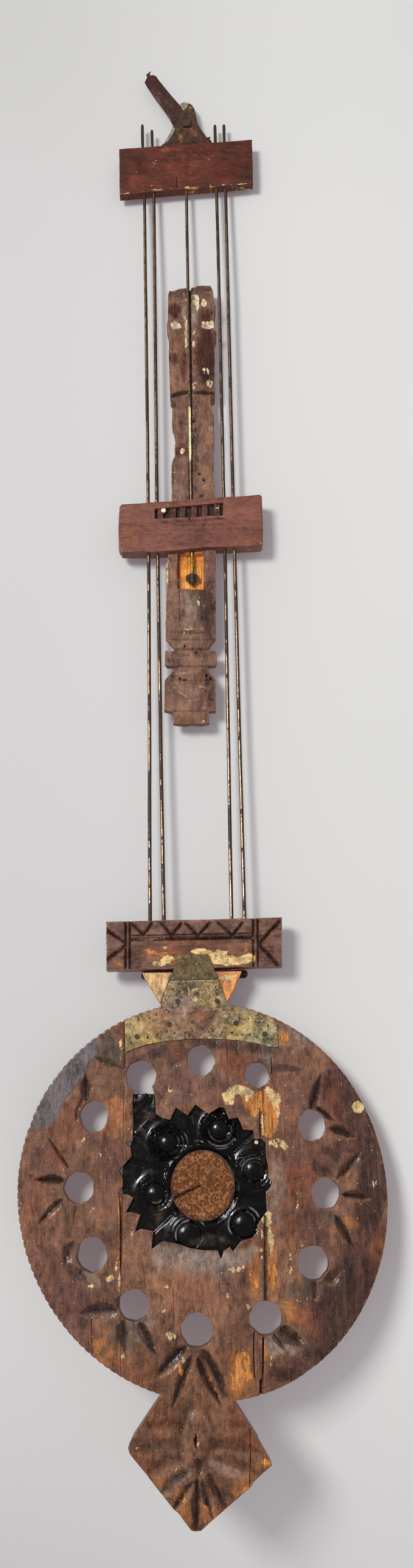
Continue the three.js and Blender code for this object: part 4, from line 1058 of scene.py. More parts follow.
# The twelve holes: middle in the photograph, width and height in millimetres
HOLES = [
    (330, 1741, 19.2, 21.6), (423, 1765, 17, 17.4), (513.5, 1848, 19.7, 21), (536, 1960.5, 19.8, 20.3),
    (515, 2075, 21.1, 21.9), (437, 2166, 21.7, 21.4), (323.5, 2186, 21.2, 21.6), (220, 2145, 20.1, 20),
    (150.7, 2061.5, 20, 22.4), (128.8, 1951, 20.7, 20.4), (153.5, 1833.5, 19.4, 21.1),
    (231, 1767, 21.2, 21.9),
]
OPENING = [
    (218.6, 1786), (218.6, 1876.5), (217.7, 1874.2), (206.3, 1878), (214.9, 1885.7), (216.8, 1899),
    (194.8, 1923.9), (206.3, 1943), (193.8, 1961.2), (211, 1962.2), (219.7, 1967.9), (206.3, 1992.8),
    (214.9, 1990.9), (231.1, 1995.7), (221.6, 2025.3), (231.1, 2018.6), (252.2, 2022.4), (249.3, 2052.1),
    (266.5, 2039.7), (293.3, 2043.5), (312.4, 2050.2), (335.4, 2054), (358.4, 2054), (363.1, 2068.4),
    (367.9, 2055), (378.4, 2048.3), (383.2, 2055.9), (396.6, 2038.7), (415.7, 2033), (425.3, 2025.3),
    (422.4, 2013.8), (438.7, 1989), (436.8, 1958.4), (444.4, 1950.7), (447.3, 1941.1), (439.7, 1935.4),
    (440.6, 1916.3), (436.8, 1897.1), (436.8, 1878), (429.1, 1870.4), (419.6, 1872.3), (415.7, 1857),
    (399.5, 1856), (395.7, 1845.5), (390.9, 1835.9), (376.5, 1838.8), (368.9, 1820.6), (361.2, 1818.7),
    (343, 1830.2), (321, 1814.9), (308.6, 1833), (289.5, 1819.7), (279.4, 1839.7), (268, 1837.4),
    (256.5, 1830.5), (254.2, 1800.7), (248, 1780),
]
FINIAL = [
    (265.6, 2291.2), (250, 2313), (234, 2337), (218.7, 2360.1), (210.1, 2379.3), (213, 2389), (238, 2420),
    (262, 2451), (285.7, 2480.7), (293.3, 2486.5), (303, 2500), (314.4, 2515.2), (322, 2516.5),
    (330.7, 2515.2), (358, 2491), (386, 2466.5), (413.9, 2442.4), (417.7, 2434.8), (433, 2420),
    (447.4, 2408), (444.5, 2400.3), (434, 2383), (427.5, 2371), (424, 2368), (425, 2364), (404, 2331),
    (383.3, 2298.9),
]
LEFT_SEAM = [(205.5, 1640), (204.6, 1755), (203.8, 1800), (202, 1960), (199, 2110), (198, 2300)]
RIGHT_SEAM = [(428.5, 1640), (430, 1740), (434, 1850), (435.5, 2030), (436, 2140), (434, 2200), (432.5, 2320)]


def disc_edge(angle, outward=0.0):
    radius = 127.05 + 2.2 * np.cos(2 * (angle + math.radians(63)))
    radius = radius + 0.83 * np.cos(3 * (angle - math.radians(50.7))) + outward
    return np.column_stack([BOB_CENTRE[0] + radius * np.cos(angle), BOB_CENTRE[1] + radius * np.sin(angle)])


def notched_edge():
    """The disc from the neck round to the neck again, with the finial, nicked all along its rim."""
    count = 148
    steps = []
    for k in range(count):
        for part, cut in ((0.0, 0.0), (0.22, 0.0), (0.36, -0.5), (0.5, -1.0), (0.64, -0.5), (0.78, 0.0)):
            steps.append((2 * math.pi * (k + part) / count, cut))
    angle = np.array([s[0] for s in steps])
    wear = 0.6 + 0.4 * np.cos(angle - math.radians(170))
    wear = wear * (0.75 + 0.35 * noise(np.cos(angle) * 40, 0 * angle, np.sin(angle) * 40, 9, 3))
    cut = np.array([s[1] for s in steps]) * 0.85 * np.clip(wear, 0.1, 1)
    chips = np.minimum(0, noise(np.cos(angle) * 127, 0 * angle, np.sin(angle) * 127, 16, 8) + 0.45)
    edge = disc_edge(angle, cut + 1.6 * chips)
    neck = np.array([
        [18.4, -793.2], [21.5, -788.5], [29.8, -771.4], [29.9, -770.4], [-41.4, -770.4], [-41.2, -771.8],
    ])
    neck = np.vstack([neck, [[-31.5, -787.8], [-27.9, -793.2]]])
    finial = seen_line(FINIAL, BOB_FRONT)
    start, end = finial[0], finial[-1]
    x, z = edge[:, 0], edge[:, 1]
    upper = z > BOB_CENTRE[1]
    left = edge[(~upper & (x < start[0] - 0.5)) | (upper & (x < neck[-1][0] - 0.5))]
    right = edge[(~upper & (x > end[0] + 0.5)) | (upper & (x > neck[0][0] + 0.5))]

    def turned(points, zero):
        angles = np.arctan2(points[:, 1] - BOB_CENTRE[1], points[:, 0] - BOB_CENTRE[0])
        return points[np.argsort((angles - zero) % (2 * math.pi))]

    left = turned(left, math.radians(90))
    right = turned(right, math.radians(-90))
    return np.vstack([left, finial, right, neck])


def hole_edge(px, py, wide, high, number):
    x, z = seen(px, py, BOB_FRONT)
    angle = np.linspace(0, 2 * math.pi, 60, endpoint=False)
    facet = 1 + 0.022 * np.cos(5 * angle + number * 1.7) + 0.015 * np.cos(9 * angle + number)
    facet = facet + 0.012 * noise(np.cos(angle) * 9, 0 * angle, np.sin(angle) * 9, 2.5, number)
    if number == 0:
        facet = facet + 0.1 * np.exp(-((angle - math.radians(268)) ** 2) / 0.01)
    return np.column_stack([x + wide / 2 * facet * np.cos(angle), z + high / 2 * facet * np.sin(angle)])


# Cuts of the carver: start, tip, width, depth in millimetres, lean
PETALS = [
    ((141.7, 1810), (141.2, 1764), 17, 2.4, 0.2), ((125.6, 1839.7), (137, 1800.7), 12, 1.6, -0.3),
    ((106, 1940.7), (56.7, 1938.4), 20, 2.6, 0.1), ((103.6, 1969), (63.6, 2009.8), 14, 2.0, 0.2),
    ((113, 1919), (78.5, 1867.3), 8, 1.4, 0), ((124.5, 1979.8), (121, 2006), 5, 1.0, 0),
    ((157.7, 1738.7), (201.4, 1757), 12, 1.5, 0.3), ((447, 1757.5), (492.2, 1759.4), 18, 1.2, 0.2),
    ((511.7, 1825), (527.8, 1766.3), 18, 2.6, 0.25), ((521, 1819), (549.6, 1840), 16, 2.2, 0),
    ((541, 1854), (584, 1869.6), 21, 2.6, -0.2), ((554.2, 1938), (593.2, 1893), 17, 2.4, 0.3),
    ((563, 1963), (611.6, 1968.3), 17, 2.4, 0.1), ((552, 1996), (584, 2051.2), 16, 2.4, -0.2),
    ((533.5, 2106.3), (560, 2089), 26, 1.6, 0.4), ((519.7, 2100), (519.7, 2140), 21, 1.4, 0.2),
    ((456, 2180), (503, 2211), 29, 2.6, -0.35), ((448.6, 2189), (469.2, 2218), 12, 1.8, 0),
    ((306, 2214), (255, 2266), 25, 2.6, 0.2), ((315, 2228), (283, 2314), 17, 2.6, -0.2),
    ((325, 2230), (364, 2310), 18, 2.6, 0.2), ((334, 2216), (374, 2294), 29, 2.6, -0.2),
    ((193, 2154.5), (131, 2159), 32, 1.8, 0.3), ((204, 2167), (206, 2222), 23, 2.0, 0.2),
    ((228.9, 2171), (258, 2225), 22, 2.3, -0.3), ((121, 2039.7), (108, 2082), 23, 1.7, 0.4),
    ((109.5, 2076), (150, 2110), 18, 1.7, -0.4), ((516, 1905), (556, 1932), 34, 1.2, 0.3),
    # The finial's leaves
    ((325, 2428), (324, 2518), 20, 2.4, 0.1), ((317, 2436), (286, 2484), 20, 2.2, 0.3),
    ((332, 2432), (350, 2494), 18, 2.0, 0.4), ((344, 2420), (374, 2476), 20, 1.7, 0.3),
    ((312, 2418), (262, 2462), 34, 1.5, 0.5), ((302, 2398), (236, 2428), 36, 1.2, 0.5),
    ((300, 2374), (216, 2386), 34, 0.9, 0.4), ((302, 2350), (234, 2344), 30, 0.8, 0.4),
    ((350, 2398), (424, 2424), 36, 1.2, -0.4), ((350, 2376), (432, 2388), 34, 1.0, -0.4),
    ((348, 2352), (404, 2344), 28, 0.8, -0.3), ((326, 2396), (329, 2424), 14, 1.9, 0.2),
    ((322, 2358), (323, 2381), 6, 1.3, 0),
]
CRACKS = [
    ([(417.6, 2190), (417, 2225), (418.5, 2262)], 2.2, 2.0),
    ([(432.5, 2198), (433, 2240), (430, 2275)], 3.4, 3.0), ([(446, 1738), (446.5, 1762)], 2.0, 1.4),
    ([(427, 1822), (427.5, 1872)], 2.2, 1.6), ([(411, 2350), (412, 2395), (410.5, 2440)], 1.7, 1.4),
    ([(429, 2268), (429, 2296)], 5.0, 3.5), ([(196, 1965), (199, 2040), (197.5, 2118)], 2.4, 1.5),
    ([(150, 2158), (152, 2240)], 1.4, 0.7), ([(372, 1690), (373.5, 1745)], 1.2, 0.5),
    ([(285, 2120), (286, 2180)], 1.2, 0.5),
]


def carved(px_points):
    """How deep the carver's cuts go below the bob's face."""
    depth = grooves(px_points, CRACKS)
    for start, tip, width, deep, lean in PETALS:
        depth = np.maximum(depth, leaf(px_points, start, tip, width, deep, lean))
    # The leaf in relief on the finial stands in a hollow of its own
    u = (px_points - np.array([322.0, 2362.0])) / np.array([23.0, 42.0])
    drop = np.hypot(u[:, 0] * (1 + 0.5 * np.clip(-u[:, 1], -0.3, 1)), u[:, 1])
    moat = (0.7 + 0.6 * smooth(0.2, -0.6, u[:, 0])) * np.exp(-(((drop - 1.2) / 0.28) ** 2))
    hump = 1.1 * smooth(1.1, 0.2, drop)
    near = drop < 2.0
    return np.where(near, np.maximum(depth, moat) - hump * (depth < 0.4), depth)


def facets(px_points):
    """Where to paint the two walls of each cut: painted shade on the one turned from the light, painted light
    on the one turned to it.
    """
    shaded, lit = np.zeros(len(px_points)), np.zeros(len(px_points))
    for start, tip, width, deep, _ in PETALS:
        way = np.array(tip) - np.array(start)
        across = np.array([-way[1], way[0]]) / np.hypot(*way)
        left = leaf(px_points, start, tip, width * 1.15, 1.0, 0.0) > 0
        u = ((px_points - np.array(start)) @ across) * (1 if across @ np.array([0.52, 0.3]) > 0 else -1)
        amount = min(deep / 2.2, 1.0)
        lit = np.maximum(lit, amount * left * smooth(-0.5, 1.5, u))
        shaded = np.maximum(shaded, amount * left * smooth(1.5, -0.5, u))
    return shaded, lit


def carving_marks():
    """Mesh points that the cuts and cracks of the bob need."""
    made = [leaf_marks(start, tip, width, 2.2) for start, tip, width, _, _ in PETALS]
    made += [groove_marks(line, width, 2.2) for line, width, _ in CRACKS]
    return [seen_line(m, BOB_FRONT) for m in made]


def widest(*shapes):
    """The strongest of several amounts at each point."""
    total = shapes[0]
    for shape in shapes[1:]:
        total = np.maximum(total, shape)
    return total


CREAM_PATCH = [
    (363.6, 1798), (389, 1780), (409.5, 1787), (423, 1796), (441.7, 1784.6), (462, 1798), (460, 1828),
    (455, 1858), (444, 1869.6), (430, 1865), (428, 1823.7), (416, 1828), (400, 1800.7), (389, 1796),
    (384, 1814.5), (370.5, 1814.5),
]
SMOKED_RIM = [
    (157.7, 1704), (162, 1730), (145, 1748), (140.5, 1764), (121, 1789), (107, 1805), (98, 1823.7),
    (91, 1839.7), (75, 1853.5), (45, 1860), (56.7, 1830.5), (66, 1807.6), (82, 1777.7), (107, 1748),
    (134.8, 1716),
]
WARM_FIELD = [
    (134, 1780), (118, 1806), (98, 1832), (80, 1860), (96, 1878), (112, 1890), (128, 1872), (150, 1866),
    (176, 1860), (213, 1848), (214, 1800), (176, 1800), (150, 1790),
]
PALE_FIELD = [
    (248, 2041), (300, 2046), (360, 2056), (412, 2045), (426, 2052), (414, 2076), (330, 2086), (250, 2080),
]
# Stains: tone, amount, x, y, width, height and, where it isn't 0, turn. Umber at 296, 2344 and rose at 328,
# 2352 are painted shade and painted light on the two sides of the finial's leaf.
BOB_STAINS = [
    ("plum", 0.25, 570, 1980, 170, 520), ("olive", 0.75, 187, 1727, 46, 58),
    ("russet", 0.8, 200, 1692, 16, 48), ("amber", 0.4, 190, 1844, 52, 46),
    ("russet", 0.5, 89, 1897, 60, 46, 20), ("russet", 0.45, 54, 1975, 46, 90),
    ("rose", 0.55, 162, 1961, 62, 54), ("plum", 0.55, 182, 1904, 60, 56),
    ("plum", 0.5, 70, 1890, 40, 60, 20), ("tan", 0.45, 158, 2008, 76, 34, 10),
    ("plum", 0.55, 73, 2062, 60, 110, 10), ("olive", 0.8, 128, 2078, 44, 60, -50),
    ("ash", 0.45, 152, 2108, 34, 30), ("plum", 0.7, 112, 2144, 100, 76, -30),
    ("olive", 0.8, 160, 2156, 56, 24), ("amber", 0.5, 180, 2224, 64, 56, 30),
    ("rose", 0.45, 122, 2184, 60, 50, -40), ("russet", 0.5, 228, 2256, 90, 44, 25),
    ("olive", 0.75, 203, 2192, 46, 54), ("rose", 0.7, 228, 2014, 32, 60), ("tan", 0.55, 224, 2062, 44, 64),
    ("tan", 0.75, 308, 2100, 130, 40), ("russet", 0.6, 318, 2130, 110, 50), ("tan", 0.5, 250, 2128, 62, 62),
    ("ash", 0.35, 238, 2186, 60, 60), ("umber", 0.45, 286, 2214, 54, 40), ("ash", 0.55, 348, 2083, 90, 34),
    ("rose", 0.5, 378, 2112, 80, 60), ("tan", 0.5, 354, 2186, 66, 70), ("umber", 0.4, 392, 2190, 60, 80),
    ("maroon", 0.55, 366, 2246, 40, 60), ("amber", 0.8, 396, 2258, 44, 84),
    ("amber", 0.75, 419, 2090, 20, 76), ("maroon", 0.5, 405, 2085, 14, 60, 20),
    ("amber", 0.7, 447, 2052, 22, 64), ("amber", 0.8, 449, 2111, 24, 52),
    ("ash", 0.4, 482, 1702, 66, 60, 20), ("amber", 0.85, 467, 1706, 20, 24),
    ("rose", 0.6, 470, 1778, 56, 72), ("rose", 0.5, 494, 1812, 52, 54),
    ("olive", 0.8, 470, 1756, 44, 16, 5), ("umber", 0.75, 572, 1782, 70, 110, -25),
    ("maroon", 0.6, 534, 1790, 14, 54, 12), ("russet", 0.55, 551, 1812, 22, 64),
    ("umber", 0.65, 598, 1868, 54, 130, -10), ("umber", 0.85, 541, 1904, 54, 54),
    ("rose", 0.5, 496, 1898, 62, 50), ("tan", 0.6, 570, 1938, 42, 42), ("tan", 0.6, 573, 1984, 52, 36),
    ("ash", 0.7, 616, 1943, 14, 24), ("umber", 0.7, 608, 1968, 34, 90), ("russet", 0.55, 482, 1940, 74, 84),
    ("ash", 0.5, 452, 1965, 30, 120), ("russet", 0.45, 468, 2022, 54, 60), ("plum", 0.5, 522, 2020, 52, 60),
    ("olive", 0.7, 540, 2000, 28, 32), ("amber", 0.7, 579, 2010, 32, 20),
    ("umber", 0.9, 608, 1990, 50, 190, 6), ("plum", 0.5, 573, 2062, 50, 80),
    ("russet", 0.5, 613, 2074, 30, 90, 12), ("tan", 0.5, 470, 2080, 30, 120),
    ("tan", 0.5, 458, 2130, 42, 60), ("olive", 0.7, 527, 2110, 76, 38, -10),
    ("olive", 0.55, 492, 2130, 44, 44), ("amber", 0.65, 481, 2155, 52, 30, 10),
    ("russet", 0.6, 511, 2172, 52, 54), ("umber", 0.85, 560, 2150, 96, 120, 35),
    ("ash", 0.7, 459, 2210, 62, 36, 35), ("olive", 0.6, 497, 2200, 32, 44, -30),
    ("umber", 0.7, 494, 2246, 130, 44, -26), ("umber", 0.6, 540, 2220, 70, 50, -40),
    ("umber", 0.6, 284, 1732, 66, 46), ("russet", 0.5, 292, 1718, 26, 40),
    ("rose", 0.65, 297, 1784, 62, 56), ("tan", 0.55, 268, 1824, 40, 34), ("tan", 0.55, 354, 1752, 60, 50),
    ("russet", 0.75, 389, 1748, 42, 42), ("rose", 0.65, 336, 1790, 60, 56),
    ("plum", 0.6, 396, 1822, 34, 34), ("tan", 0.55, 406, 1842, 30, 40), ("ash", 0.6, 436, 1736, 26, 30),
    ("umber", 0.7, 380, 1718, 150, 16, 6), ("umber", 0.65, 245, 1735, 60, 14, -14),
    # Umber at 296, 2344: painted shade on the left of the finial's leaf
    ("umber", 0.6, 296, 2344, 30, 70, 12), ("russet", 0.5, 262, 2330, 60, 50, 40),
    ("tan", 0.4, 350, 2322, 40, 50), ("russet", 0.6, 246, 2402, 70, 24, 20),
    ("amber", 0.6, 262, 2436, 50, 22, 38), ("tan", 0.75, 286, 2412, 74, 16, -28),
    ("ash", 0.5, 282, 2440, 60, 14, -42), ("tan", 0.6, 388, 2396, 80, 18, 10),
    ("ash", 0.5, 380, 2420, 60, 14, 30), ("amber", 0.7, 300, 2492, 26, 40, 36),
    # Rose at 328, 2352: painted light on the right of the finial's leaf
    ("amber", 0.7, 344, 2486, 22, 40, -36), ("rose", 0.6, 328, 2352, 26, 50),
    ("umber", 0.75, 330, 2408, 22, 24), ("russet", 0.5, 400, 2352, 46, 60, -30),
    ("amber", 0.6, 436, 2406, 24, 26), ("amber", 0.5, 404, 2436, 40, 22, -40),
    ("umber", 0.5, 336, 2450, 22, 50, -12), ("umber", 0.4, 232, 2366, 30, 50, 30),
    ("tan", 0.5, 330, 2145, 170, 60), ("umber", 0.6, 590, 2110, 60, 140, 14),
    ("walnut", 0.6, 330, 2262, 200, 60),
]
# Bare wood and cream paint, and among the cream two painted glints on drops of varnish, at 281, 1791 and 372,
# 2128: amount, x, y, width, height and, where it isn't 0, turn
BOB_BARE = [
    (0.95, 412, 1808, 26, 36, -25), (0.95, 425, 1812, 26, 44, 20), (0.9, 443, 1838, 18, 56),
    (0.7, 467, 1704, 14, 14), (0.62, 396, 2262, 34, 70), (0.72, 438, 2403, 20, 10),
    (0.62, 402, 2446, 36, 8, -40), (0.4, 579, 2010, 26, 14), (0.62, 296, 2250, 7, 26, -18),
    (0.62, 343, 2262, 8, 40, -28), (0.66, 437, 2222, 6, 36), (0.5, 300, 2460, 24, 30, -30),
    (0.5, 338, 2480, 14, 40), (0.5, 421, 2088, 10, 74), (0.66, 447, 2088, 12, 72),
]
BOB_CREAM = [
    (0.8, 466, 1880, 24, 12, 42), (0.62, 615, 1945, 8, 16), (0.8, 443, 2022, 5, 42),
    (0.66, 431, 2028, 3, 26), (0.8, 407, 2147.6, 7, 10), (0.8, 284, 2194.6, 16, 14),
    (0.7, 269, 2154.5, 9, 6, -40), (0.66, 276, 2115, 14, 6), (0.7, 216, 2026, 7, 10, 30),
    (0.8, 190, 2080, 5, 30), (0.75, 182, 2100, 14, 10, -50), (0.6, 147, 2113, 16, 7),
    # The last mark here, at 281, 1791, is a painted glint
    (0.8, 197, 2105, 3.5, 40), (0.7, 137, 1872, 10, 16), (0.6, 165, 1897, 6, 14), (0.62, 281, 1791, 8, 8),
    (0.7, 390, 2084, 28, 9, -10), (0.62, 377, 1797, 26, 24), (0.62, 198, 1718, 6, 18),
    (0.6, 445, 2226, 4, 22), (0.7, 152, 1988, 6, 12, 20), (0.66, 489, 1970, 2.4, 42),
    # The last mark here, at 372, 2128, is a painted glint
    (0.62, 478, 2080, 2.4, 84), (0.7, 66, 1844, 6, 6), (0.62, 150, 1826, 14, 4), (0.55, 372, 2128, 9, 9),
    (0.6, 203, 2228, 7, 10), (0.75, 372, 1606, 40, 8, -8), (0.7, 324, 2370, 4, 16),
    (0.8, 440, 2002, 16, 26), (0.75, 447, 2044, 9, 34), (0.75, 448, 1878, 16, 12, 40),
    (0.7, 430, 2060, 6, 24), (0.7, 372, 2346, 12, 5), (0.6, 446, 2236, 6, 20), (0.65, 226, 2380, 8, 5),
    (0.6, 300, 2232, 6, 12),
]


def bob_finish(places, side):
    """Bare wood, cream paint, dirt and stains on the three boards and the finial, and painted shade and light
    in the cuts and on the finial's leaf.
    """
    p = shown(places, BOB_FRONT)
    cream_patch = patch(p, CREAM_PATCH, 2.5)
    clear = (1 - spot(p, (424, 1814), (28, 44), 20)) * (1 - spot(p, (444, 1840), (22, 60)))
    # Dark in the seams and cracks, and dirt with painted shade in the carved cuts and the finial's notches
    shade_and_dirt = widest(
        0.75 * smooth(0.4, 1.9, carved(p)), 0.75 * streak(p, [(205, 1679), (204.6, 1755)], 3.4),
        0.8 * streak(p, [(199, 1960), (198.5, 2084)], 3.2), 0.95 * streak(
            p, [(436, 1998), (436.5, 2140)], 5.5,
        ),
        0.6 * streak(p, [(430, 1738), (432, 1800), (428, 1872)], 2.4), 0.7 * spot(p, (196, 2140), (16, 22)),
        0.75 * spot(p, (329, 2407), (9, 20)), 0.8 * spot(p, (320, 2370), (4, 18)),
    )
    shaded, lit = facets(p)
    # The finial's leaf in relief: painted light on its side towards the lamp, painted shade in the hollow to
    # its right
    u = (p - np.array([322.0, 2356.0])) / np.array([23.0, 42.0])
    rim = np.hypot(u[:, 0], u[:, 1])
    hollow = np.exp(-(((rim - 1.15) / 0.22) ** 2)) * smooth(-0.3, 0.5, u[:, 0] + 0.3 * u[:, 1])
    leaf_painted_light = np.exp(-(((rim - 0.75) / 0.25) ** 2)) * smooth(0.4, -0.5, u[:, 0] + 0.3 * u[:, 1])
    neck, warm = (
        patch(p, [(a, 1588), (a + 55, 1588), (b, 1652), (b - 12, 1644)], 2) for a, b in (
            (230, 262), (351, 376),
        )
    )
    # Umber on each cut's shaded wall and tan on its lit wall are painted shade and painted light
    patches = [
        ("smoke", 0.9 * patch(p, SMOKED_RIM, 5)), ("clay", 0.62 * patch(p, WARM_FIELD, 7)),
        ("ash", 0.75 * patch(p, PALE_FIELD, 8)), ("walnut", 0.5 * patch(p, FINIAL, 10)),
        ("umber", 0.9 * shaded), ("tan", 0.45 * lit), ("peach", 0.95 * neck), ("orange", 0.95 * warm),
        ("umber", 0.6 * hollow), ("tan", 0.6 * leaf_painted_light),
    ]
    round_chip = 0.85 * spot(p, (588.6, 1819), (20, 21), 0, 0.2)
    bare = widest(
        0.8 * cream_patch, 0.3 * neck, ovals(p, BOB_BARE), 0.75 * streak(p, [(196, 1968), (195, 2120)], 3),
    )
    cream = widest(0.8 * cream_patch * clear, round_chip, 0.35 * neck, ovals(p, BOB_CREAM))
    return coat(p, side, BOB_STAINS, bare, cream, shade_and_dirt, patches)


def make_bob():
    outline = notched_edge()
    holes = [hole_edge(*hole, number) for number, hole in enumerate(HOLES)]
    opening = seen_line(OPENING, BOB_FRONT)
    left, right = seen_line(LEFT_SEAM, BOB_FRONT), seen_line(RIGHT_SEAM, BOB_FRONT)

    def which(points):
        at_left = np.interp(-points[:, 1], -left[:, 1], left[:, 0])
        at_right = np.interp(-points[:, 1], -right[:, 1], right[:, 0])
        return (points[:, 0] > at_left).astype(int) + (points[:, 0] > at_right)

    boards = split([counterclockwise(outline)] + holes + [opening], [left, right], which)
    names = ["left", "centre", "right"]
    marks = carving_marks()
    middle = np.array(ROSETTE)
    rebate = np.vstack([middle + 55.6 * unit_circle(150), middle + 56.2 * unit_circle(150)])

    def relief(places):
        p = shown(places, BOB_FRONT)
        wave = 0.25 * unevenness(places, 26, 21)
        grain = 0.1 * unevenness(places, 1.8, 33, z=0.12)
        return carved(p) + wave + np.abs(grain)

    def rear(places):
        return 8.9 * smooth(56.1, 55.7, np.hypot(*(places - middle).T))

    for number, (name, stretches) in enumerate(zip(names, boards)):
        for part, (outer, inner) in enumerate(stretches):
            board(
                f"bob_{name}_{part + 1}", "lower_frame", "bob_wood", [f"bob_{name}_board"],
                outer, BOB_FRONT, BOB_BACK, inner, spacing=1.35, marks=marks, relief=relief, rear=rear,
                rear_marks=rebate, corner=0.55, ragged=0.16, paint=bob_finish, seed=40 + 3 * number + part,
            )


# The rosette: a black turned ring with six bosses round a plug of end grain
ROSETTE = (-0.5, -912.0)
# Each boss: place in the photograph, radius of its dome, how strong the turned rings round it are
BOSSES = [
    (360.3, 1855, 7.1, 1.0), (275, 1877, 7.0, 1.0), (255, 1962, 7.5, 0.5), (309.6, 2029, 9.0, 0.25),
    (402.4, 2012, 8.8, 0.3), (417.7, 1922, 7.9, 0.6),
]
# Painted highlights on the ridges of the turned rings round the bosses: centre, radius, from and to in
# degrees, strength
RIDGE_HIGHLIGHTS = [
    (280.6, 1879, 15, -60, 80, 0.45), (280.6, 1879, 21.5, -50, 70, 0.6), (280.6, 1879, 28, -55, 20, 0.5),
    (280.6, 1879, 24.5, 45, 85, 0.75), (362, 1856, 19, -30, 200, 0.4), (362, 1856, 27, 20, 150, 0.65),
    (362, 1856, 31, 55, 115, 0.45), (418, 1923, 20.5, 165, 305, 0.55), (418, 1923, 26, 190, 290, 0.35),
    (418, 1923, 15, 160, 330, 0.3), (255.5, 1964, 12, 25, 125, 0.5), (255.5, 1964, 28, -15, 50, 0.8),
    (312.5, 2029, 24, 150, 275, 0.75), (312.5, 2029, 17, 170, 320, 0.3), (312.5, 2029, 28, 280, 335, 0.7),
    (398, 2011, 23, 125, 205, 0.7), (398, 2011, 22, 280, 355, 0.65), (398, 2011, 30, 285, 345, 0.75),
]
PLUG = (-0.3, -915.55)
WEDGE = [(279, 1972), (300, 1962), (328, 1949)]
TONGUE = [(219.4, 1800), (219.4, 1874), (262, 1874), (262, 1836), (255.6, 1829), (253.2, 1803), (240, 1795)]


def make_rosette():
    circle = unit_circle(220)
    outer = np.array(ROSETTE) + 55.2 * circle
    bore = np.array(PLUG) + np.array([21.9, 23.1]) * circle[::2]
    bosses = seen_line([boss[:2] for boss in BOSSES], -7.0)

    def relief(places):
        from_plug = np.hypot(places[:, 0] - PLUG[0], (places[:, 1] - PLUG[1]) * 0.955)
        height = 1.6 * np.exp(-(((from_plug - 25.3) / 2.2) ** 2))
        shapes, gaps = [], []
        for middle, (_, _, size, rings) in zip(bosses, BOSSES):
            gap = np.hypot(*(places - middle).T)
            dome = 3.9 * np.sqrt(np.clip(1 - (gap / size) ** 2, 0, 1))
            out = gap - size
            ripple = 0.8 * rings * np.cos(2 * math.pi * (out - 1.5) / 2.5)
            ripple = ripple * smooth(0, 1.0, out) * smooth(8.5, 4, out)
            skirt = 1.7 * smooth(10.0, 0.5, out)
            shapes.append(np.where(out < 0, np.maximum(dome, 0.9), 0.3 + ripple + skirt))
            gaps.append(gap)
        order = np.sort(gaps, axis=0)
        valley = -1.0 * smooth(3.4, 0, order[1] - order[0])
        return -(np.maximum(height, np.max(shapes, axis=0)) + valley)

    board(
        "rosette_ring_turned", "lower_frame", "black_lacquer", ["rosette_ring"],
        outer, -3.7, 8.2, [bore], spacing=0.85, relief=relief, corner=0.25, ragged=0.05,
        paint=rosette_finish, seed=60, swell=0.02,
    )
    # The channel that runs up to the twelfth hole is filled with the same black
    board(
        "rosette_tongue", "lower_frame", "black_lacquer", [],
        seen_line(TONGUE, BOB_FRONT), -4.2, 4.6, spacing=1.2, corner=0.6, ragged=0.1,
        paint=tongue_finish, seed=61,
        relief=lambda q: 1.2 * unevenness(q, 5, 66),
    )

    plug_edge = np.array(PLUG) + np.array([21.6, 22.8]) * circle

    def plug_relief(places):
        p = shown(places, -7.8)
        out = np.hypot(places[:, 0] - PLUG[0], (places[:, 1] - PLUG[1]) * 0.955)
        rings = 0.16 * np.cos(out * 2.6 + 1.5 * unevenness(places, 9, 71))
        rough = 0.3 * unevenness(places, 1.6, 72)
        gap, along = distance_to(p, WEDGE)
        crack = 2.4 * np.clip(1 - gap / (1.6 + 5.5 * (1 - along)), 0, 1)
        return rings + rough + crack + 0.5 * smooth(17, 22, out)

    board(
        "rosette_plug_end_grain", "lower_frame", "cork_wood", ["rosette_plug"],
        plug_edge, -7.4, 1.7, spacing=0.9, relief=plug_relief, corner=1.0, ragged=0.12,
        marks=[seen_line(groove_marks(WEDGE, 3, 1.5), -7.6)], paint=plug_finish, seed=62,
    )


# A painted ridge highlight fades over so many degrees at its ends, and is so many picture points wide
RIDGE_FADE, RIDGE_WIDTH = 15, 1.7


def arc(points, middle, radius, start, end):
    """A soft narrow line round a point, fading at both ends."""
    away = points - np.array(middle)
    turn = (np.degrees(np.arctan2(away[:, 1], away[:, 0])) - start) % 360
    ends = smooth(0, RIDGE_FADE, turn) * smooth(end - start, end - start - RIDGE_FADE, turn)
    return ends * np.exp(-(((np.hypot(*away.T) - radius) / RIDGE_WIDTH) ** 2))


def rosette_finish(places, side):
    p = shown(places, -6.0)
    # Painted highlights along the turned rings' ridges, in silver
    ridge_highlights = widest(*(strength * arc(p, (x, y), r, a, b) for x, y, r, a, b, strength in RIDGE_HIGHLIGHTS))
    # The olive patches are the ring's olive film, with painted sheen on the lower left and at the bottom
    stains = [
        ("olive", 0.35, 256, 2000, 34, 60), ("olive", 0.4, 340, 2040, 90, 22),
        ("olive", 0.3, 432, 1900, 14, 60),
    ]
    cream = ovals(p, [(0.75, 421.5, 1876, 6, 7)])
    return coat(p, side, stains, cream=cream, patches=[("silver", ridge_highlights)])


def tongue_finish(places, side):
    p = shown(places, BOB_FRONT)
    # The olive, verdigris and cream marks on the black tongue are painted sheen and highlights
    stains = [("olive", 0.35, 240, 1850, 30, 60), ("verdigris", 0.5, 253, 1808, 6, 22)]
    return coat(p, side, stains, cream=ovals(p, [(0.5, 248, 1800, 12, 4)]))


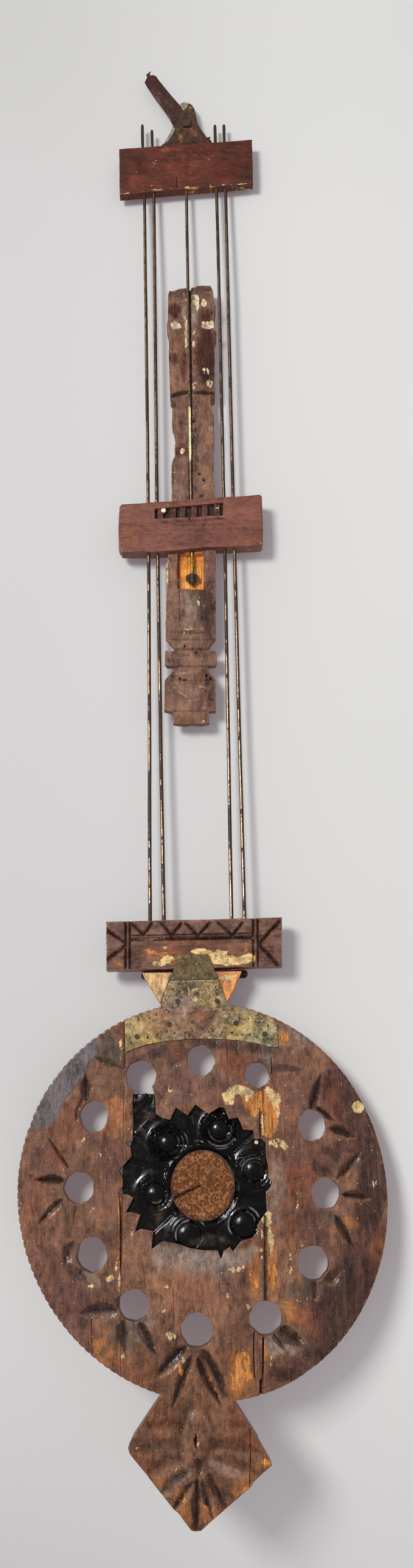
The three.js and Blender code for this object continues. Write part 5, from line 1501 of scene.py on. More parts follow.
def plug_finish(places, side):
    p = shown(places, -7.6)
    gap, along = distance_to(p, WEDGE)
    out = np.hypot(p[:, 0] - 333.5, (p[:, 1] - 1947) * 0.92)
    shade_and_dirt = widest(0.95 * smooth(6.5, 1.5, gap + 4 * along), 0.5 * smooth(44, 54, out))
    return coat(p, side, [], cream=ovals(p, [(0.75, 310.5, 1895, 7, 7)]), shade_and_dirt=shade_and_dirt)


# The three cross bars
def make_top_bar():
    front = -4.5
    corners = [(-61.2, -28.9), (-60.6, -78.4), (58.8, -68.1), (59.3, -20.3)]
    edge = divided(corners, 1.4)
    edge = shaken(edge, 0.25, 7, (80, 81))
    crack = [(290.5, 291), (290.2, 305)]

    def relief(places):
        p = shown(places, front)
        chips = 0.9 * spot(p, (314, 306), (22, 6)) + 0.9 * spot(p, (357, 306), (20, 7))
        chips = chips + 0.5 * spot(p, (333, 308), (30, 5))
        under = 1.4 * smooth(14, 3, distance_to(places, [(-60, -80), (60, -69)])[0] * 2)
        plane = 0.22 * unevenness(places, 4, 83, x=0.15)
        return chips + under + plane + groove(p, crack, 1.6, 1.2)

    stains = [
        ("umber", 0.65, 228, 258, 46, 26), ("umber", 0.6, 402, 284, 30, 28),
        ("umber", 0.6, 378, 246, 50, 26), ("russet", 0.3, 300, 262, 110, 30, -4),
        ("umber", 0.4, 262, 288, 60, 20), ("maroon", 0.5, 329, 281, 24, 18),
        # Umber at 306, 318 is painted shade along the underside
        ("russet", 0.35, 225, 296, 50, 26), ("umber", 0.7, 306, 318, 220, 12, -4),
        ("umber", 0.6, 203, 280, 18, 80), ("umber", 0.6, 411, 262, 16, 70),
        ("russet", 0.7, 277, 246, 30, 9, -3), ("russet", 0.35, 310, 282, 90, 40),
    ]

    def finish(places, side):
        p = shown(places, front)
        # The pale line along the lower front edge is painted highlight and wear
        rim = [(199, 316.5), (256, 310.6), (303, 305.4), (340, 304), (414, 299)]
        bare = widest(
            0.62 * streak(p, [(304, 307), (325, 305.5)], 3), 0.75 * streak(p, [(346, 305), (354, 311)], 5),
        )
        cream = widest(
            ovals(p, [(0.55, 312, 306, 16, 2.5), (0.75, 350, 308, 13, 6), (0.6, 257, 310, 14, 3)]),
            0.5 * streak(p, rim, 1.4),
        )
        return coat(p, side, stains, bare, cream)

    board(
        "top_bar_planed", "hanger", "red_wood", ["top_bar"], edge, front, -front, spacing=1.6,
        relief=relief, marks=[seen_line(groove_marks(crack, 1.6, 2), front)], corner=0.7, ragged=0.25,
        paint=finish, seed=82,
    )


SLOT = [(-30.4, -396.0), (-30.6, -404.9), (24.4, -402.6), (24.8, -391.4)]
POSTS = [264, 284.5, 300.3, 319.3, 336.7, 357]


def make_middle_bar():
    front = -6
    corners = [
        (-57.5, -391.2), (-59.6, -394), (-60.2, -412), (-59.9, -430), (-57.2, -434.2), (-30, -434.6),
        (-4, -432.6), (10, -431.2), (30, -431), (54.5, -430.4), (56.4, -428), (56.9, -405), (56.6, -386),
        (54.8, -384.2),
    ]
    edge = divided(corners, 1.4)
    edge = shaken(edge, 0.3, 6, (90, 91))
    slot = divided(SLOT, 1.2)
    slot_marks = [inset(slot, 0.25), inset(slot, -0.25)]
    pin_hole = (310.6, 851)

    def relief(places):
        p = shown(places, front)
        gap, _ = distance_to(places, slot, closed=True)
        within = inside(places, slot)
        deep = 3.2 * smooth(-0.25, 0.25, np.where(within, gap, -gap))
        hole = 2.5 * np.clip(1 - np.hypot(*(p - pin_hole).T) / 2.4, 0, 1)
        chips = 0.8 * spot(p, (240, 912), (60, 8)) + 0.8 * spot(p, (385, 906), (60, 7))
        plane = 0.25 * unevenness(places, 3, 93, x=0.12)
        return deep + hole + chips + plane * (1 - within)

    stains = [
        ("clay", 0.5, 214, 876, 36, 28), ("tan", 0.35, 210, 842, 30, 26),
        ("russet", 0.35, 414, 858, 40, 12, -2), ("tan", 0.5, 375, 903, 26, 8),
        # Umber at 316, 862 is painted shade below the slot
        ("tan", 0.7, 411, 899, 44, 10, -5), ("umber", 0.4, 316, 862, 120, 10, -3),
        ("tan", 0.5, 285, 903, 44, 3), ("umber", 0.3, 300, 824, 220, 8, -4),
        ("tan", 0.35, 390, 840, 50, 10, -3), ("plum", 0.35, 320, 886, 120, 26),
    ]

    def finish(places, side):
        p = shown(places, front)
        within = 1.0 * inside(places, slot)
        bare = widest(
            0.6 * streak(p, [(205, 911), (268, 914)], 4), 0.55 * streak(p, [(350, 907), (428, 900)], 4),
        )
        # The cream line along the lower front edge is a painted highlight
        rim = [(198, 907), (271, 912), (284, 907), (366, 903), (431, 893)]
        cream = widest(ovals(p, [(0.7, 240, 913, 26, 3), (0.6, 389, 906, 20, 3)]), 0.42 * streak(p, rim, 1.6))
        # Painted shade: the slot's floor, a band below the slot and the pin hole are darkened
        shade_and_dirt = widest(
            0.8 * within, 0.5 * streak(p, [(262, 858), (372, 852)], 5), 0.9 * spot(p, pin_hole, (4, 4)),
        )
        return coat(p, side, stains, bare, cream, shade_and_dirt)

    board(
        "middle_bar_slotted", "lower_frame", "rose_wood", ["middle_bar"], edge, front, -front,
        spacing=1.5, relief=relief, marks=slot_marks, corner=1.1, ragged=0.3, paint=finish, seed=92,
    )

    def post_finish(places, side):
        p = shown(places, -5.5)
        crossed = ovals(p, [(0.5, 357, 834, 11, 2, 40), (0.5, 357, 834, 11, 2, -40)])
        return coat(p, np.zeros(len(p)), [("umber", 0.7, 310, 841, 200, 44)], cream=crossed)

    for number, px in enumerate(POSTS):
        top_left, top_right = seen(px - 4.5, 838.5, -5), seen(px + 4.5, 838.0, -5)
        x0, x1 = top_left[0], top_right[0]
        high = np.interp((x0 + x1) / 2, [-30.4, 24.8], [-396.3, -391.8])
        low = np.interp((x0 + x1) / 2, [-30.6, 24.4], [-404.6, -402.3])
        post = [(x0, low), (x1, low), (x1, high), (x0, high)]
        board(
            f"slot_post_{number + 1}", "lower_frame", "rose_wood",
            ["slot_comb"] if number == 0 else [], post, -5.5, -2.4, spacing=1.2, corner=0.5, ragged=0.1,
            seed=94 + number, paint=post_finish,
        )


def make_slot_pin():
    disc = np.array([-23.6, -397.3]) + 2.0 * unit_circle(28)
    board(
        "slot_pin_turned", "lower_frame", "bone", ["slot_pin"], disc, -6.2, -3.6, spacing=0.8,
        corner=0.8, ragged=0.05, swell=0.05, seed=99, wall_step=0.8,
    )


ZIGZAG = [
    [(216, 1516), (236, 1536), (250, 1516)], [(266, 1516), (282, 1537), (299, 1516)],
    [(305, 1516), (326, 1537), (345, 1516)], [(360, 1516), (382, 1537), (399, 1516)],
]


def make_bottom_bar():
    front = -7.0
    corners = [(-67.6, -733), (-67.2, -768), (-20, -768.2), (59, -767.3), (60.3, -732)]
    edge = divided(corners, 1.3)
    edge = shaken(edge, 0.3, 6, (100, 101))
    cuts = [([(207, 1512), (206.5, 1590)], 6.0, 2.1), ([(213.5, 1512), (213.5, 1590)], 5.5, 2.0)]
    cuts += [([(416.5, 1511), (417, 1590)], 6.0, 2.1), ([(424, 1511), (424.5, 1590)], 5.5, 2.0)]
    cuts += [([(214, 1543.5), (415, 1539.5)], 8.0, 2.3), ([(214, 1537), (415, 1533)], 3.5, 1.0)]
    cuts += [(line, 7.5, 2.0) for line in ZIGZAG]
    cuts += [([(172, 1526), (207, 1549)], 8.5, 2.1), ([(172, 1580), (207, 1553)], 9.0, 2.1)]
    cuts += [([(460, 1513), (427, 1549)], 8.5, 2.1), ([(462, 1591), (427, 1552)], 9.0, 2.1)]

    def relief(places):
        p = shown(places, front)
        plane = 0.2 * unevenness(places, 3, 103, x=0.12)
        worn = 0.7 * spot(p, (350, 1576), (150, 18)) + 0.6 * spot(p, (272, 1572), (40, 14))
        return grooves(p, cuts) + plane + worn

    stains = [
        ("umber", 0.5, 192, 1530, 30, 30), ("umber", 0.5, 440, 1566, 34, 40),
        ("plum", 0.4, 320, 1522, 200, 14), ("rose", 0.5, 250, 1560, 70, 40),
        ("amber", 0.5, 310, 1551, 44, 16), ("russet", 0.6, 320, 1562, 150, 40),
        ("amber", 0.5, 330, 1576, 170, 20), ("tan", 0.4, 192, 1572, 24, 26),
        ("tan", 0.35, 440, 1530, 26, 26), ("umber", 0.6, 222, 1572, 26, 34),
        ("umber", 0.5, 314, 1558, 40, 16),
    ]

    def finish(places, side):
        p = shown(places, front)
        bare = ovals(p, [
            (0.35, 272, 1562, 80, 20), (0.62, 330, 1579, 150, 18), (0.3, 390, 1560, 50, 30),
            (0.4, 192, 1583, 20, 5, 16), (0.62, 405, 1566, 8, 40),
        ])
        cream = ovals(p, [
            (0.8, 276, 1574, 34, 14), (0.9, 345, 1573, 28, 14), (0.9, 384, 1578, 66, 15),
            (0.8, 262, 1583, 30, 8), (0.8, 402, 1574, 28, 16), (0.85, 271, 1556, 7, 6),
            (0.6, 258, 1543, 84, 2), (0.7, 300, 1571, 14, 8), (0.8, 330, 1564, 40, 12),
            (0.7, 356, 1568, 36, 14),
        ])
        # The grooves are darkened: dirt and painted shade in the cuts
        return coat(p, side, stains, bare, cream, 0.78 * smooth(0.2, 1.1, grooves(p, cuts)))

    marks = [seen_line(groove_marks(line, width, 2.0), front) for line, width, _ in cuts]
    board(
        "bottom_bar_carved", "lower_frame", "carved_wood", ["bottom_bar"], edge, front, 5.2,
        spacing=1.2, relief=relief, marks=marks, corner=0.6, ragged=0.2, paint=finish, seed=102,
    )


# The baluster, whose groove holds the middle wire: both sides from the top down
LEFT_SIDE = [
    (278.1, 476.7), (276, 483), (275.6, 498.5), (276.7, 500.6), (275.7, 505.5), (275.6, 515.3),
    (277.4, 516.7), (276, 521), (273.9, 532.1), (276, 539.2), (276.7, 546.2), (278.1, 554.6),
    (277.7, 571.4), (277.1, 588.2), (278.1, 609.3), (278.8, 630.3), (279.5, 650), (282.3, 653.5),
    (283.1, 659), (289, 660.5), (289.5, 667.5), (283.7, 669.1), (282.8, 674.2), (283.7, 680.6),
    (285.6, 683.4), (282.4, 687), (282.4, 693.4), (285, 697.2), (286.9, 707.4), (288.4, 717.6),
    (289.2, 725.3), (286.9, 731.6), (286.9, 739.3), (288.8, 747.6), (286.3, 750.1), (283.1, 757.1),
    (282, 764.8), (281.5, 777.6), (281.5, 790.3), (282.4, 803.1), (281.8, 819.6), (275.4, 915.8),
    (272.9, 927.4), (272.1, 947.3), (273.2, 955), (273.2, 1006), (272, 1022), (272, 1047.5),
    (286.7, 1064.4), (286.7, 1068), (270.8, 1068.4), (270.8, 1089.8), (274, 1093.4), (286.4, 1094),
    (284.3, 1101.7), (270.4, 1116.9), (270, 1166.3), (282.7, 1169.5), (284.3, 1173.5), (284.3, 1187.5),
    (292, 1189.2),
]
RIGHT_SIDE = [
    (290, 476), (294.3, 473.9), (307.6, 472.5), (322.3, 470.7), (323.7, 469), (335, 468.7), (346.2, 468.3),
    (349.7, 474.6), (351.1, 483), (351.8, 491.5), (352.5, 498.5), (354.6, 501.3), (353.2, 509.7),
    (351.8, 522.3), (351.8, 539.2), (355.3, 542), (356, 546.2), (353.2, 553.2), (352.9, 581.2),
    (353.2, 609.3), (353.9, 637.3), (353.2, 646.5), (346.6, 649.9), (346.8, 669.1), (348.8, 676.8),
    (351.9, 680.6), (351.9, 692.1), (351.3, 703.6), (352.6, 713.8), (351.3, 726.5), (350.7, 739.3),
    (351.9, 752), (351.3, 771.2), (352.6, 790.3), (353, 815.8), (355, 912.5), (354.2, 947.3), (355, 955),
    (355, 1047.5), (341.7, 1064.4), (341.7, 1068), (353.7, 1068.4), (355.6, 1070.6), (356.9, 1089),
    (353.7, 1093), (341.7, 1093.8), (344.9, 1104), (354.5, 1116), (355, 1167.6), (344, 1168.2), (344, 1187),
    (330, 1189.6), (316, 1188), (303, 1190),
]
WIRE_LINE = [(0.1, -170.0), (-0.3, -290.0), (-1.1, -361.0), (-1.0, -466.0)]
POCKET = [(-12.4, -434.0), (-12.6, -465.0), (8.1, -465.6), (8.2, -434.0)]
BALUSTER_FRONT = -1.5
BALUSTER_STAINS = [
    ("umber", 0.6, 312, 480, 74, 16, -6), ("tan", 0.5, 290, 610, 30, 80), ("maroon", 0.9, 287, 509, 24, 24),
    ("ash", 0.8, 302, 512, 8, 22), ("clay", 0.5, 288, 563, 24, 24), ("maroon", 0.9, 284, 587, 16, 16),
    ("maroon", 0.7, 302, 606, 10, 66), ("ash", 0.75, 321, 507, 16, 52), ("umber", 0.5, 338, 516, 24, 20),
    ("maroon", 1.0, 338, 590, 40, 112), ("black", 0.45, 340, 592, 22, 84),
    ("umber", 0.8, 293, 647, 36, 9, -14), ("umber", 0.8, 338, 645, 34, 8),
    ("russet", 0.5, 341, 663, 16, 26), ("maroon", 0.7, 299, 741, 20, 22),
    # Umber at 321, 744 is the painted shadow of the wire on the groove's right flank
    ("umber", 0.65, 321, 744, 10, 150), ("clay", 0.3, 340, 720, 20, 116), ("clay", 0.25, 341, 800, 22, 60),
    ("tan", 0.6, 284, 938, 16, 60), ("maroon", 0.8, 295, 940, 9, 60), ("rose", 0.6, 345, 940, 20, 54),
    ("ash", 0.5, 311, 1000, 38, 64), ("umber", 0.8, 342, 1004, 30, 96), ("umber", 0.6, 308, 1038, 52, 7),
    ("umber", 0.45, 284, 1080, 30, 26), ("umber", 0.5, 283, 760, 8, 120), ("rose", 0.4, 300, 1140, 50, 40),
    ("umber", 0.6, 344, 1140, 22, 54), ("umber", 0.4, 282, 1110, 24, 60),
    ("walnut", 0.6, 312, 1180, 56, 18), ("ash", 0.95, 288, 1132, 16, 3.6, 50),
    ("ash", 0.95, 300, 1140, 22, 3.4, 30), ("ash", 0.7, 316, 1150, 26, 3, -8),
    ("ash", 0.7, 306, 1105, 34, 3, -6), ("ash", 0.6, 330, 1128, 20, 2.6, 12),
    ("ash", 0.8, 296, 1156, 12, 2.6, 60), ("ash", 0.6, 318, 1082, 40, 2.6, 4),
    ("umber", 0.6, 312, 1076, 60, 3, 4), ("ash", 0.6, 306, 1000, 3, 30, 4), ("ash", 0.6, 322, 1008, 3, 36),
    ("ash", 0.6, 334, 1162, 20, 3, 4), ("ash", 0.55, 310, 1054, 60, 3), ("umber", 0.5, 300, 690, 14, 50),
]
BALUSTER_CREAM = [
    (0.8, 291, 534, 18, 13), (0.8, 324, 497, 6, 30), (0.85, 335, 497, 12, 15), (0.75, 341, 532, 24, 13),
    (0.85, 306, 548, 6, 46), (0.75, 318, 546, 5, 9), (0.75, 318, 564, 5, 10), (0.62, 335, 608, 7, 11),
    (0.62, 342, 610, 6, 12), (0.62, 345, 628, 12, 13), (0.55, 320, 632, 8, 16), (0.85, 313, 714, 5, 94),
    (0.7, 300, 741, 9, 10), (0.6, 311, 1032, 32, 3), (0.7, 326, 990, 6, 8),
    (0.55, 275, 940, 4, 56), (0.5, 318, 486, 8, 26),
]
WORM_HOLES = [
    (304, 1060.6), (323, 1071.4), (296.3, 1114.5), (303, 1116.6), (339.7, 1108.9), (346.8, 1114.5),
    (327.7, 778), (335.6, 787.8), (332, 814), (319, 691),
]
SAWN_LINES = [
    ([(279.5, 651), (308, 643.6)], 6.5, 2.0), ([(320, 644), (353, 645)], 5.0, 1.8),
    ([(273, 1050), (355, 1050)], 3.5, 0.7), ([(286, 1066), (342, 1066)], 5.0, 1.1),
    ([(286, 1094.5), (342, 1094.5)], 4.5, 1.0), ([(272, 1118), (354, 1117)], 3, 0.6),
    ([(282, 1168), (344, 1168)], 3.5, 0.8), ([(284, 1036), (331, 1036)], 5, 0.8),
    ([(295, 969), (295, 1033)], 2.4, 0.5), ([(327, 969), (327, 1033)], 2.4, 0.5),
    ([(275, 955), (290, 956)], 3, 0.7), ([(337, 957), (355, 955)], 3, 0.7),
]


def worm_holes(points):
    """1 in the middle of each worm hole, 0 away from them."""
    return widest(*(smooth(2.6, 1.3, np.hypot(*(points - place).T)) for place in WORM_HOLES))


def make_baluster():
    edge = divided(seen_line(LEFT_SIDE + RIGHT_SIDE[::-1], BALUSTER_FRONT), 1.0)
    edge = shaken(edge, 0.22, 2.6, (110, 112))
    pocket = divided(POCKET, 1.2)
    groove_line = groove_marks(WIRE_LINE, 3.4, 1.5)
    line_marks = [seen_line(groove_marks(line, width, 2.0), BALUSTER_FRONT) for line, width, _ in SAWN_LINES]

    def relief(places):
        p = shown(places, BALUSTER_FRONT)
        gap, _ = distance_to(places, WIRE_LINE)
        channel = 3.6 * smooth(1.75, 1.35, gap) * (places[:, 1] > -466)
        flank = 1.1 * np.clip(1 - gap / 5.0, 0, 1) * smooth(-280, -310, places[:, 1]) * (places[:, 1] > -434)
        near, _ = distance_to(places, pocket, closed=True)
        hollow = 5.3 * smooth(-0.3, 0.3, np.where(inside(places, pocket), near, -near))
        worn = 0.7 * np.abs(unevenness(places, 5, 115, z=0.35))
        worn = worn + 0.5 * smooth(0.1, 0.5, unevenness(places, 9, 116, z=0.5))
        window = patch(p, [(295, 969), (327, 969), (327, 1033), (295, 1033)], 1.0)
        cut = widest(window, grooves(p, SAWN_LINES), 2.0 * worm_holes(p))
        return np.maximum(np.maximum(channel, hollow), worn + flank + cut)

    def rear(places):
        # The back is hewn away towards the edges below the middle bar
        gap, _ = distance_to(places, edge, closed=True)
        return 9.5 * smooth(8, 0, gap) * smooth(-436, -446, places[:, 1])

    def finish(places, side):
        p = shown(places, BALUSTER_FRONT)
        pocketed = 1.0 * inside(places, np.array([(-12, -434), (-12.2, -465), (8.1, -466), (8.2, -433)]))
        gap, _ = distance_to(places, WIRE_LINE)
        # Painted shadow along the wire's groove, and dirt with painted shade in the sawn lines and worm holes
        shade_and_dirt = 0.6 * smooth(1.9, 1.2, gap) * (places[:, 1] > -433)
        for line, width, deep in SAWN_LINES:
            shade_and_dirt = np.maximum(shade_and_dirt, 0.55 * smooth(0.4, 1.4, deep) * streak(p, line, width * 0.8))
        shade_and_dirt = np.maximum(shade_and_dirt, worm_holes(p))
        return coat(p, side, BALUSTER_STAINS, pocketed, ovals(p, BALUSTER_CREAM), shade_and_dirt * (1 - pocketed))

    board(
        "baluster_sawn", "lower_frame", "bare_wood", ["baluster"], edge, BALUSTER_FRONT, 14.5,
        spacing=1.1, relief=relief, marks=[groove_line, inset(pocket, 0.3), inset(pocket, -0.3)] + line_marks,
        corner=1.0, ragged=0.2, paint=finish, seed=114, wall_step=1.6, rear=rear,
    )


# Wires, drawn along the middle lines of their solids
def middle_line(node):
    """The middle of each ring of a rod's points, from the top down."""
    verts = np.array([v.co[:] for v in frame["nodes"][node].data.vertices]) / MM
    order = np.argsort(-verts[:, 2])
    verts = verts[order]
    groups, start = [], 0
    for i in range(1, len(verts) + 1):
        if i == len(verts) or verts[i - 1, 2] - verts[i, 2] > 0.8:
            groups.append(verts[start:i].mean(axis=0))
            start = i
    return np.array(groups)


def tube(rings, first, last):
    """A round bar through rings of points, closed by a point at each end."""
    n = len(rings[0])
    end = (len(rings) - 1) * n
    faces = []
    for k in range(n):
        j = (k + 1) % n
        faces += [(i + k, i + n + k, i + n + j, i + j) for i in range(0, end, n)]
        faces += [(end + n, k, j), (end + n + 1, end + j, end + k)]
    return np.vstack(rings + [[first, last]]), faces


def wire(name, node, body, radius, seed, taller=0.0, lean=0.0, gleam=None):
    line = middle_line(node)
    z = np.arange(line[0, 2] + taller, line[-1, 2], -2.4)
    x = np.interp(-z, -line[:, 2], line[:, 0]) + lean * smooth(-80, 0, z)
    y = np.interp(-z, -line[:, 2], line[:, 1])
    x = x + 0.12 * noise(0 * z, 0 * z, z, 40, seed)
    angle = np.linspace(0, 2 * math.pi, 24, endpoint=False)
    size = radius * (1 + 0.05 * noise(0 * z, 0 * z, z, 6, seed + 1))
    size[[0, -1]] *= 0.8
    rings = []
    for here in zip(x, y, z, size):
        flat = here[3] * np.column_stack([np.cos(angle), np.sin(angle), 0 * angle])
        rings.append(flat + np.array(here[:3]))
    verts, faces = tube(rings, (x[0], y[0], z[0] + 0.2), (x[-1], y[-1], z[-1] - 0.2))
    # A painted highlight lies along the side to the left of the front, the rest is tarnished
    painted_highlights = smooth(0.7, 0.97, np.cos(angle - math.radians(240)))
    painted_highlights = np.outer(0.5 + 0.5 * smooth(-0.5, 0.1, noise(0 * z, 0 * z, z, 30, seed + 2)), painted_highlights)
    painted_highlights = np.append((painted_highlights * smooth(-10, -24, z)[:, None]).ravel(), [0, 0])
    finish = np.column_stack([0.42 * painted_highlights, 0 * painted_highlights, 0.3 * (1 - painted_highlights), painted_highlights])
    stain = None
    # gleam gives the heights of a lime painted highlight on the wire's front
    if gleam:
        amount = smooth(0.5, 0.85, np.cos(angle - math.radians(255)))
        length = smooth(gleam[1] - 3, gleam[1] + 3, z) * smooth(gleam[0] + 3, gleam[0] - 3, z)
        cover = np.append(np.outer(length, amount).ravel(), [0, 0])
        stain = np.column_stack([np.tile(tone("lime"), (len(cover), 1)), cover])
    piece(name, verts, faces, body, "brass_wire", [node], sharp=50, finish=finish, stain=stain)


# The neck: a whittled dowel and two brass plates
def make_dowel():
    depth, height, radius = 8.6, -770.4, 3.1
    x = np.concatenate([[-42.9, -42.6, -42.0, -41.2], np.arange(-40.0, 32.6, 1.6), [33.2, 34.0, 34.6, 34.8]])
    around = np.linspace(0, 2 * math.pi, 24, endpoint=False)
    end = np.clip(np.minimum(x + 42.95, 34.85 - x) / 2.6, 0, 1)
    rings = []
    for here, share in zip(x, end):
        r = radius * math.sqrt(max(1 - (1 - share) ** 2, 0.05))
        r = r * (1 + 0.07 * noise(around * 0 + here, 3 * np.cos(around), 3 * np.sin(around), 3, 125))
        y, z = depth + r * np.cos(around), height + r * np.sin(around)
        rings.append(np.column_stack([np.full(24, here), y, z]))
    verts, faces = tube(rings, (x[0] - 0.05, depth, height), (x[-1] + 0.05, depth, height))
    piece("dowel_whittled", verts, faces, "lower_frame", "batten_wood", ["neck_dowel"])


def make_plates():
    upper = [(-15.2, -757.9), (-21.4, -776.3), (13.2, -776.0), (6.2, -758.1)]
    nail_places = [
        (-16.1, -791.3), (11.8, -791.3), (-22.5, -807.3), (-45.0, -815.3), (24.7, -807.3), (45.0, -815.3),
    ]
    board(
        "plate_upper_sheet", "lower_frame", "olive_brass", ["neck_plate_upper"],
        divided(upper, 1.5), -7.95, -7.3, spacing=1.3, corner=0.15, ragged=0.05, swell=0.05, seed=120,
        wall_step=0.6,
    )
    left_end, right_end = (-53.7, -803.0), (53.6, -808.5)
    top = disc_edge(np.radians(np.arange(114.5, 103.0, -1.5)), -0.6)
    right = disc_edge(np.radians(np.arange(79.5, 65.0, -1.5)), -0.6)
    lower = [
        (54.4, -824.5), (49, -824.0), (40, -821.5), (25, -819.0), (8, -817.6), (-8, -817.5), (-25, -818.7),
        (-38, -820.8), (-47, -823.6), (-53.5, -826.2),
    ]
    shape = [left_end] + [tuple(q) for q in top]
    shape += [(-28.0, -793.8), (-27.6, -791.5), (-22.5, -778.4), (-21.3, -776.6)]
    shape += [(13.3, -776.3), (14.6, -779.0), (18.2, -790.5), (19.4, -793.6)]
    shape += [tuple(q) for q in right] + [right_end] + lower

    def relief(places):
        dents = 0.28 * unevenness(places, 8, 122)
        dents = dents - 0.35 * spot(places, (-4, -789), (24, 16))
        dents = dents + 0.25 * spot(places, (6, -800), (16, 26), -25)
        fold = -0.3 * streak(places, [(-21, -777.2), (13, -777.0)], 1.4)
        return np.clip(dents + fold, -0.5, 0.3)

    stains = [
        ("brass", 0.5, 222, 1700, 70, 60), ("verdigris", 0.25, 212, 1700, 50, 30),
        ("tan", 0.4, 216, 1712, 30, 16), ("brass", 0.9, 246, 1706, 22, 22),
        ("tan", 0.6, 300, 1680, 120, 60), ("clay", 0.45, 328, 1666, 30, 18),
        ("umber", 0.5, 340, 1678, 16, 60, 35), ("verdigris", 0.3, 430, 1702, 60, 50),
        ("brass", 0.6, 400, 1690, 60, 40), ("olive", 0.35, 440, 1712, 30, 20),
        ("olive", 0.4, 226, 1718, 30, 14), ("olive", 0.5, 316, 1634, 60, 50),
        ("ash", 0.5, 300, 1650, 50, 24),
    ]

    def finish(places, side):
        p = shown(places, -7.6)
        crust = widest(
            0.5 * spot(places, (-38, -806), (26, 12), 18), 0.5 * spot(places, (38, -810), (34, 14), -14),
            0.75 * streak(places, [(-21, -777), (13, -776.8)], 0.9),
            0.5 * streak(places, [(-50, -824), (-30, -818.5), (0, -816.8), (30, -818.5), (50, -823)], 2.2),
        )
        bright = 0.3 * spot(places, (0, -788), (20, 14))
        return coat(p, side, stains, bright, crust, 0.3 * spot(places, (5, -803), (30, 12)))

    holes = []
    ring = np.linspace(0, 2 * math.pi, 9)[:-1]
    random = np.random.default_rng(7)
    outline = counterclockwise(np.array(shape))
    spots = []
    for x in np.arange(-50, 52, 6.5):
        for level in (0.22, 0.8):
            top_z = np.interp(x, [-53, -28, 0, 20, 53], [-804, -794, -792, -794.5, -809])
            low_z = np.interp(abs(x), [0, 25, 45, 54], [-816.8, -818.2, -821.5, -824])
            if abs(x + 4) < 20 and level < 0.5:
                continue
            across = x + random.uniform(-1.5, 1.5)
            spots.append((across, top_z + (low_z - top_z) * level + random.uniform(-1, 1)))
    spots += [(-19.2, -783), (11.0, -781.5), (-24.0, -797), (16.8, -798)]
    for x, z in spots:
        if min(math.hypot(x - a, z - b) for a, b in nail_places) < 3.4:
            continue
        centre = np.array([[x, z]])
        if not inside(centre, outline)[0] or distance_to(centre, outline, closed=True)[0][0] < 1.6:
            continue
        size = random.uniform(0.5, 0.85)
        holes.append(np.column_stack([x + size * np.cos(ring), z + size * np.sin(ring)]))
    board(
        "plate_lower_sheet", "lower_frame", "green_brass", ["neck_plate_lower"],
        divided(outline, 1.4), -7.9, -7.3, holes, spacing=1.2, relief=relief, corner=0.12, ragged=0.08,
        swell=0.05,
        paint=finish, seed=121, wall_step=0.6,
    )


# The arm and the bracket's two cheeks: traced edges, closed out of sight by points in the CAD frame
ARM = [
    (287.2, 210), (282.4, 201.4), (270.9, 182.2), (258.5, 166), (245.6, 147.3), (241.3, 141.1),
    (237.9, 134.9), (242.2, 126.3), (240.3, 122.5), (247.9, 116.7), (246, 121.5), (247.5, 123.9),
    (251.3, 123), (256.6, 125.1), (260.4, 130.6), (270.9, 144), (282.4, 157.9), (295.3, 172.2),
    (300.6, 181.3),
]
FRONT_CHEEK = [
    (265.2, 238.7), (272.8, 233.9), (278.6, 228.2), (282.4, 222.4), (286.2, 215.7), (287.2, 210),
    (290.5, 204), (294.5, 195), (300.6, 181.3), (304.4, 178.9), (308.2, 175.5), (308.2, 171.7),
    (311.6, 170.3), (315.9, 172.7), (319.2, 177.5), (321.6, 186.1), (323.5, 196.6), (326.4, 205.2),
    (331.2, 213.8), (336.9, 221.5), (340.2, 225.8), (346, 224.3), (345, 228.2), (348.4, 232.9),
]
REAR_CHEEK = [
    (265.2, 238.7), (273.8, 228.2), (277.1, 222.4), (281.4, 213.8), (283.8, 207.1), (288, 190), (292, 178),
    (295.8, 171.3), (299.6, 168.7), (304.4, 167.5), (310.5, 168.9), (315.4, 172.4), (318.8, 177.5),
    (321.2, 186.1), (323.1, 196.6), (326, 205.2), (330.8, 213.8), (339.8, 225.8), (345, 232.9),
]
SHEET_STAINS = [
    ("olive", 0.6, 313, 184, 16, 18), ("tan", 0.8, 313, 177, 7, 4), ("rose", 0.5, 306, 206, 22, 14),
    ("amber", 0.4, 296, 226, 8, 28, -12), ("plum", 0.6, 284, 231, 16, 14, -40),
    ("clay", 0.4, 318, 216, 20, 16), ("maroon", 0.9, 336, 229, 40, 5, -12), ("maroon", 0.9, 345, 227, 5, 8),
    ("umber", 0.5, 306, 236, 60, 8, -3), ("plum", 0.5, 262, 160, 18, 44, -35),
    ("maroon", 0.5, 250, 134, 16, 24), ("walnut", 0.3, 284, 176, 12, 24, -35),
]


def make_sheet(name, body, slot, node, rim, front, back, material=None):
    """A thin plate of the bracket. Those in front are stained, and painted highlights lie in two places."""

    def finish(places, side):
        p = shown(places, front)
        # Two painted highlights along the arm's edges
        worn = [([(276, 188), (281.5, 199)], 1.8, 0.8), ([(248, 146), (268, 175)], 1.4, 0.4)]
        painted_highlights = [("ash", amount * streak(p, line, width)) for line, width, amount in worn]
        return coat(p, 0.5 * side, SHEET_STAINS if front < 0 else [], patches=painted_highlights)

    board(
        name, body, slot, [node], divided(rim, 1.0), front, back, spacing=1.2, corner=0.2, ragged=0.04,
        swell=0.0, paint=finish, seed=140, wall_step=0.6, material=material,
    )


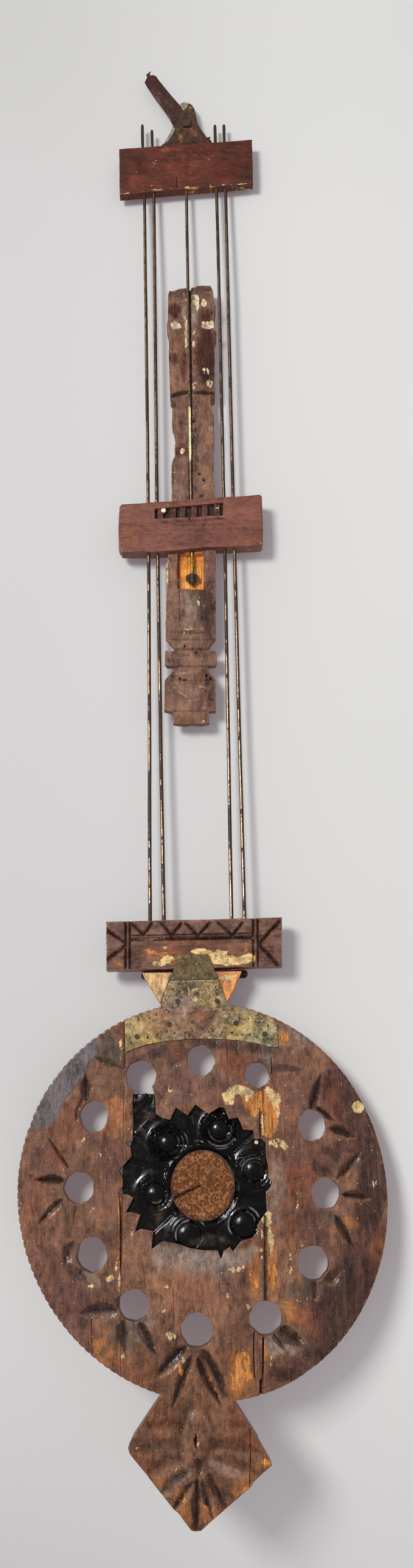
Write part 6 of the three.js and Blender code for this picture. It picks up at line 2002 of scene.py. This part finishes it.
def make_bracket():
    half = np.radians(np.arange(215.0, 375.0, 16.0))
    hub = [(6.5 * math.cos(a), 6.5 * math.sin(a)) for a in half]
    tail = [(17, -27), (17, -44.5), (-17, -44.5), (-17, -27)]
    rim = np.vstack([seen_line(ARM[::-1], -0.6), hub])
    make_sheet("arm_forged", "arm", "maroon_iron", "suspension_arm", rim, -0.6, 0.6)
    rim = np.vstack([seen_line(FRONT_CHEEK, -2.1), tail])
    bronze = OWN_FINISH["bracket_rivet"]
    make_sheet("front_cheek_sheet", "hanger", "olive_brass", "bracket_front_cheek", rim, -2.1, -0.9, bronze)
    rim = np.vstack([seen_line(REAR_CHEEK, 0.9), tail])
    make_sheet("rear_cheek_sheet", "hanger", "green_brass", "bracket_rear_cheek", rim, 0.9, 2.1, PALE_BRONZE)


# Finishes of nodes that keep their own shape, by the start of their names
OWN_FINISH = {
    "bracket_rivet": old_metal(
        "cheek bronze", (134, 100, 74), (92, 66, 50), (112, 78, 54), 0.85, 0.4, (0.35, 0.6), mottle=1.0,
    ),
    "rating_nut": old_metal("nut bronze", (128, 96, 66), (74, 54, 42), (104, 78, 54), 0.75, 0.3, (0.3, 0.5)),
    "neck_plate_nail": old_metal(
        "nail heads", (120, 104, 72), (84, 74, 50), (110, 104, 74), 0.8, 0.4, (0.4, 0.6),
    ),
}
PALE_BRONZE = old_metal(
    "pale bronze", (206, 204, 180), (178, 182, 152), (220, 222, 200), 0.8, 0.6, (0.4, 0.6),
)


def dress_nodes():
    """Nodes whose own shape is right get their aged finish."""
    for row in frame["record"]["subparts"]:
        name = row["node"]
        own = [finish for start, finish in OWN_FINISH.items() if name.startswith(start)]
        for slot in frame["nodes"][name].material_slots:
            slot.material = own[0] if own else MATERIALS[row["material_slot"]]


bpy.context.scene.view_settings.view_transform = "Standard"
make_camera()
make_backdrop()
make_light()
make_bob()
make_rosette()
make_top_bar()
make_middle_bar()
make_slot_pin()
make_bottom_bar()
make_baluster()
wire("wire_left_outer", "left_outer_rod", "lower_frame", 1.4, 130, -2.3, -1.6)
wire("wire_left_inner", "left_inner_rod", "lower_frame", 1.4, 132, -1.2, -1.6)
wire("wire_right_inner", "right_inner_rod", "lower_frame", 1.4, 134, 1.2)
wire("wire_right_outer", "right_outer_rod", "lower_frame", 1.4, 136, 1.4)
wire("wire_centre", "centre_rod", "hanger", 1.35, 138, gleam=(-297.0, -349.0))
make_bracket()
make_dowel()
make_plates()
dress_nodes()
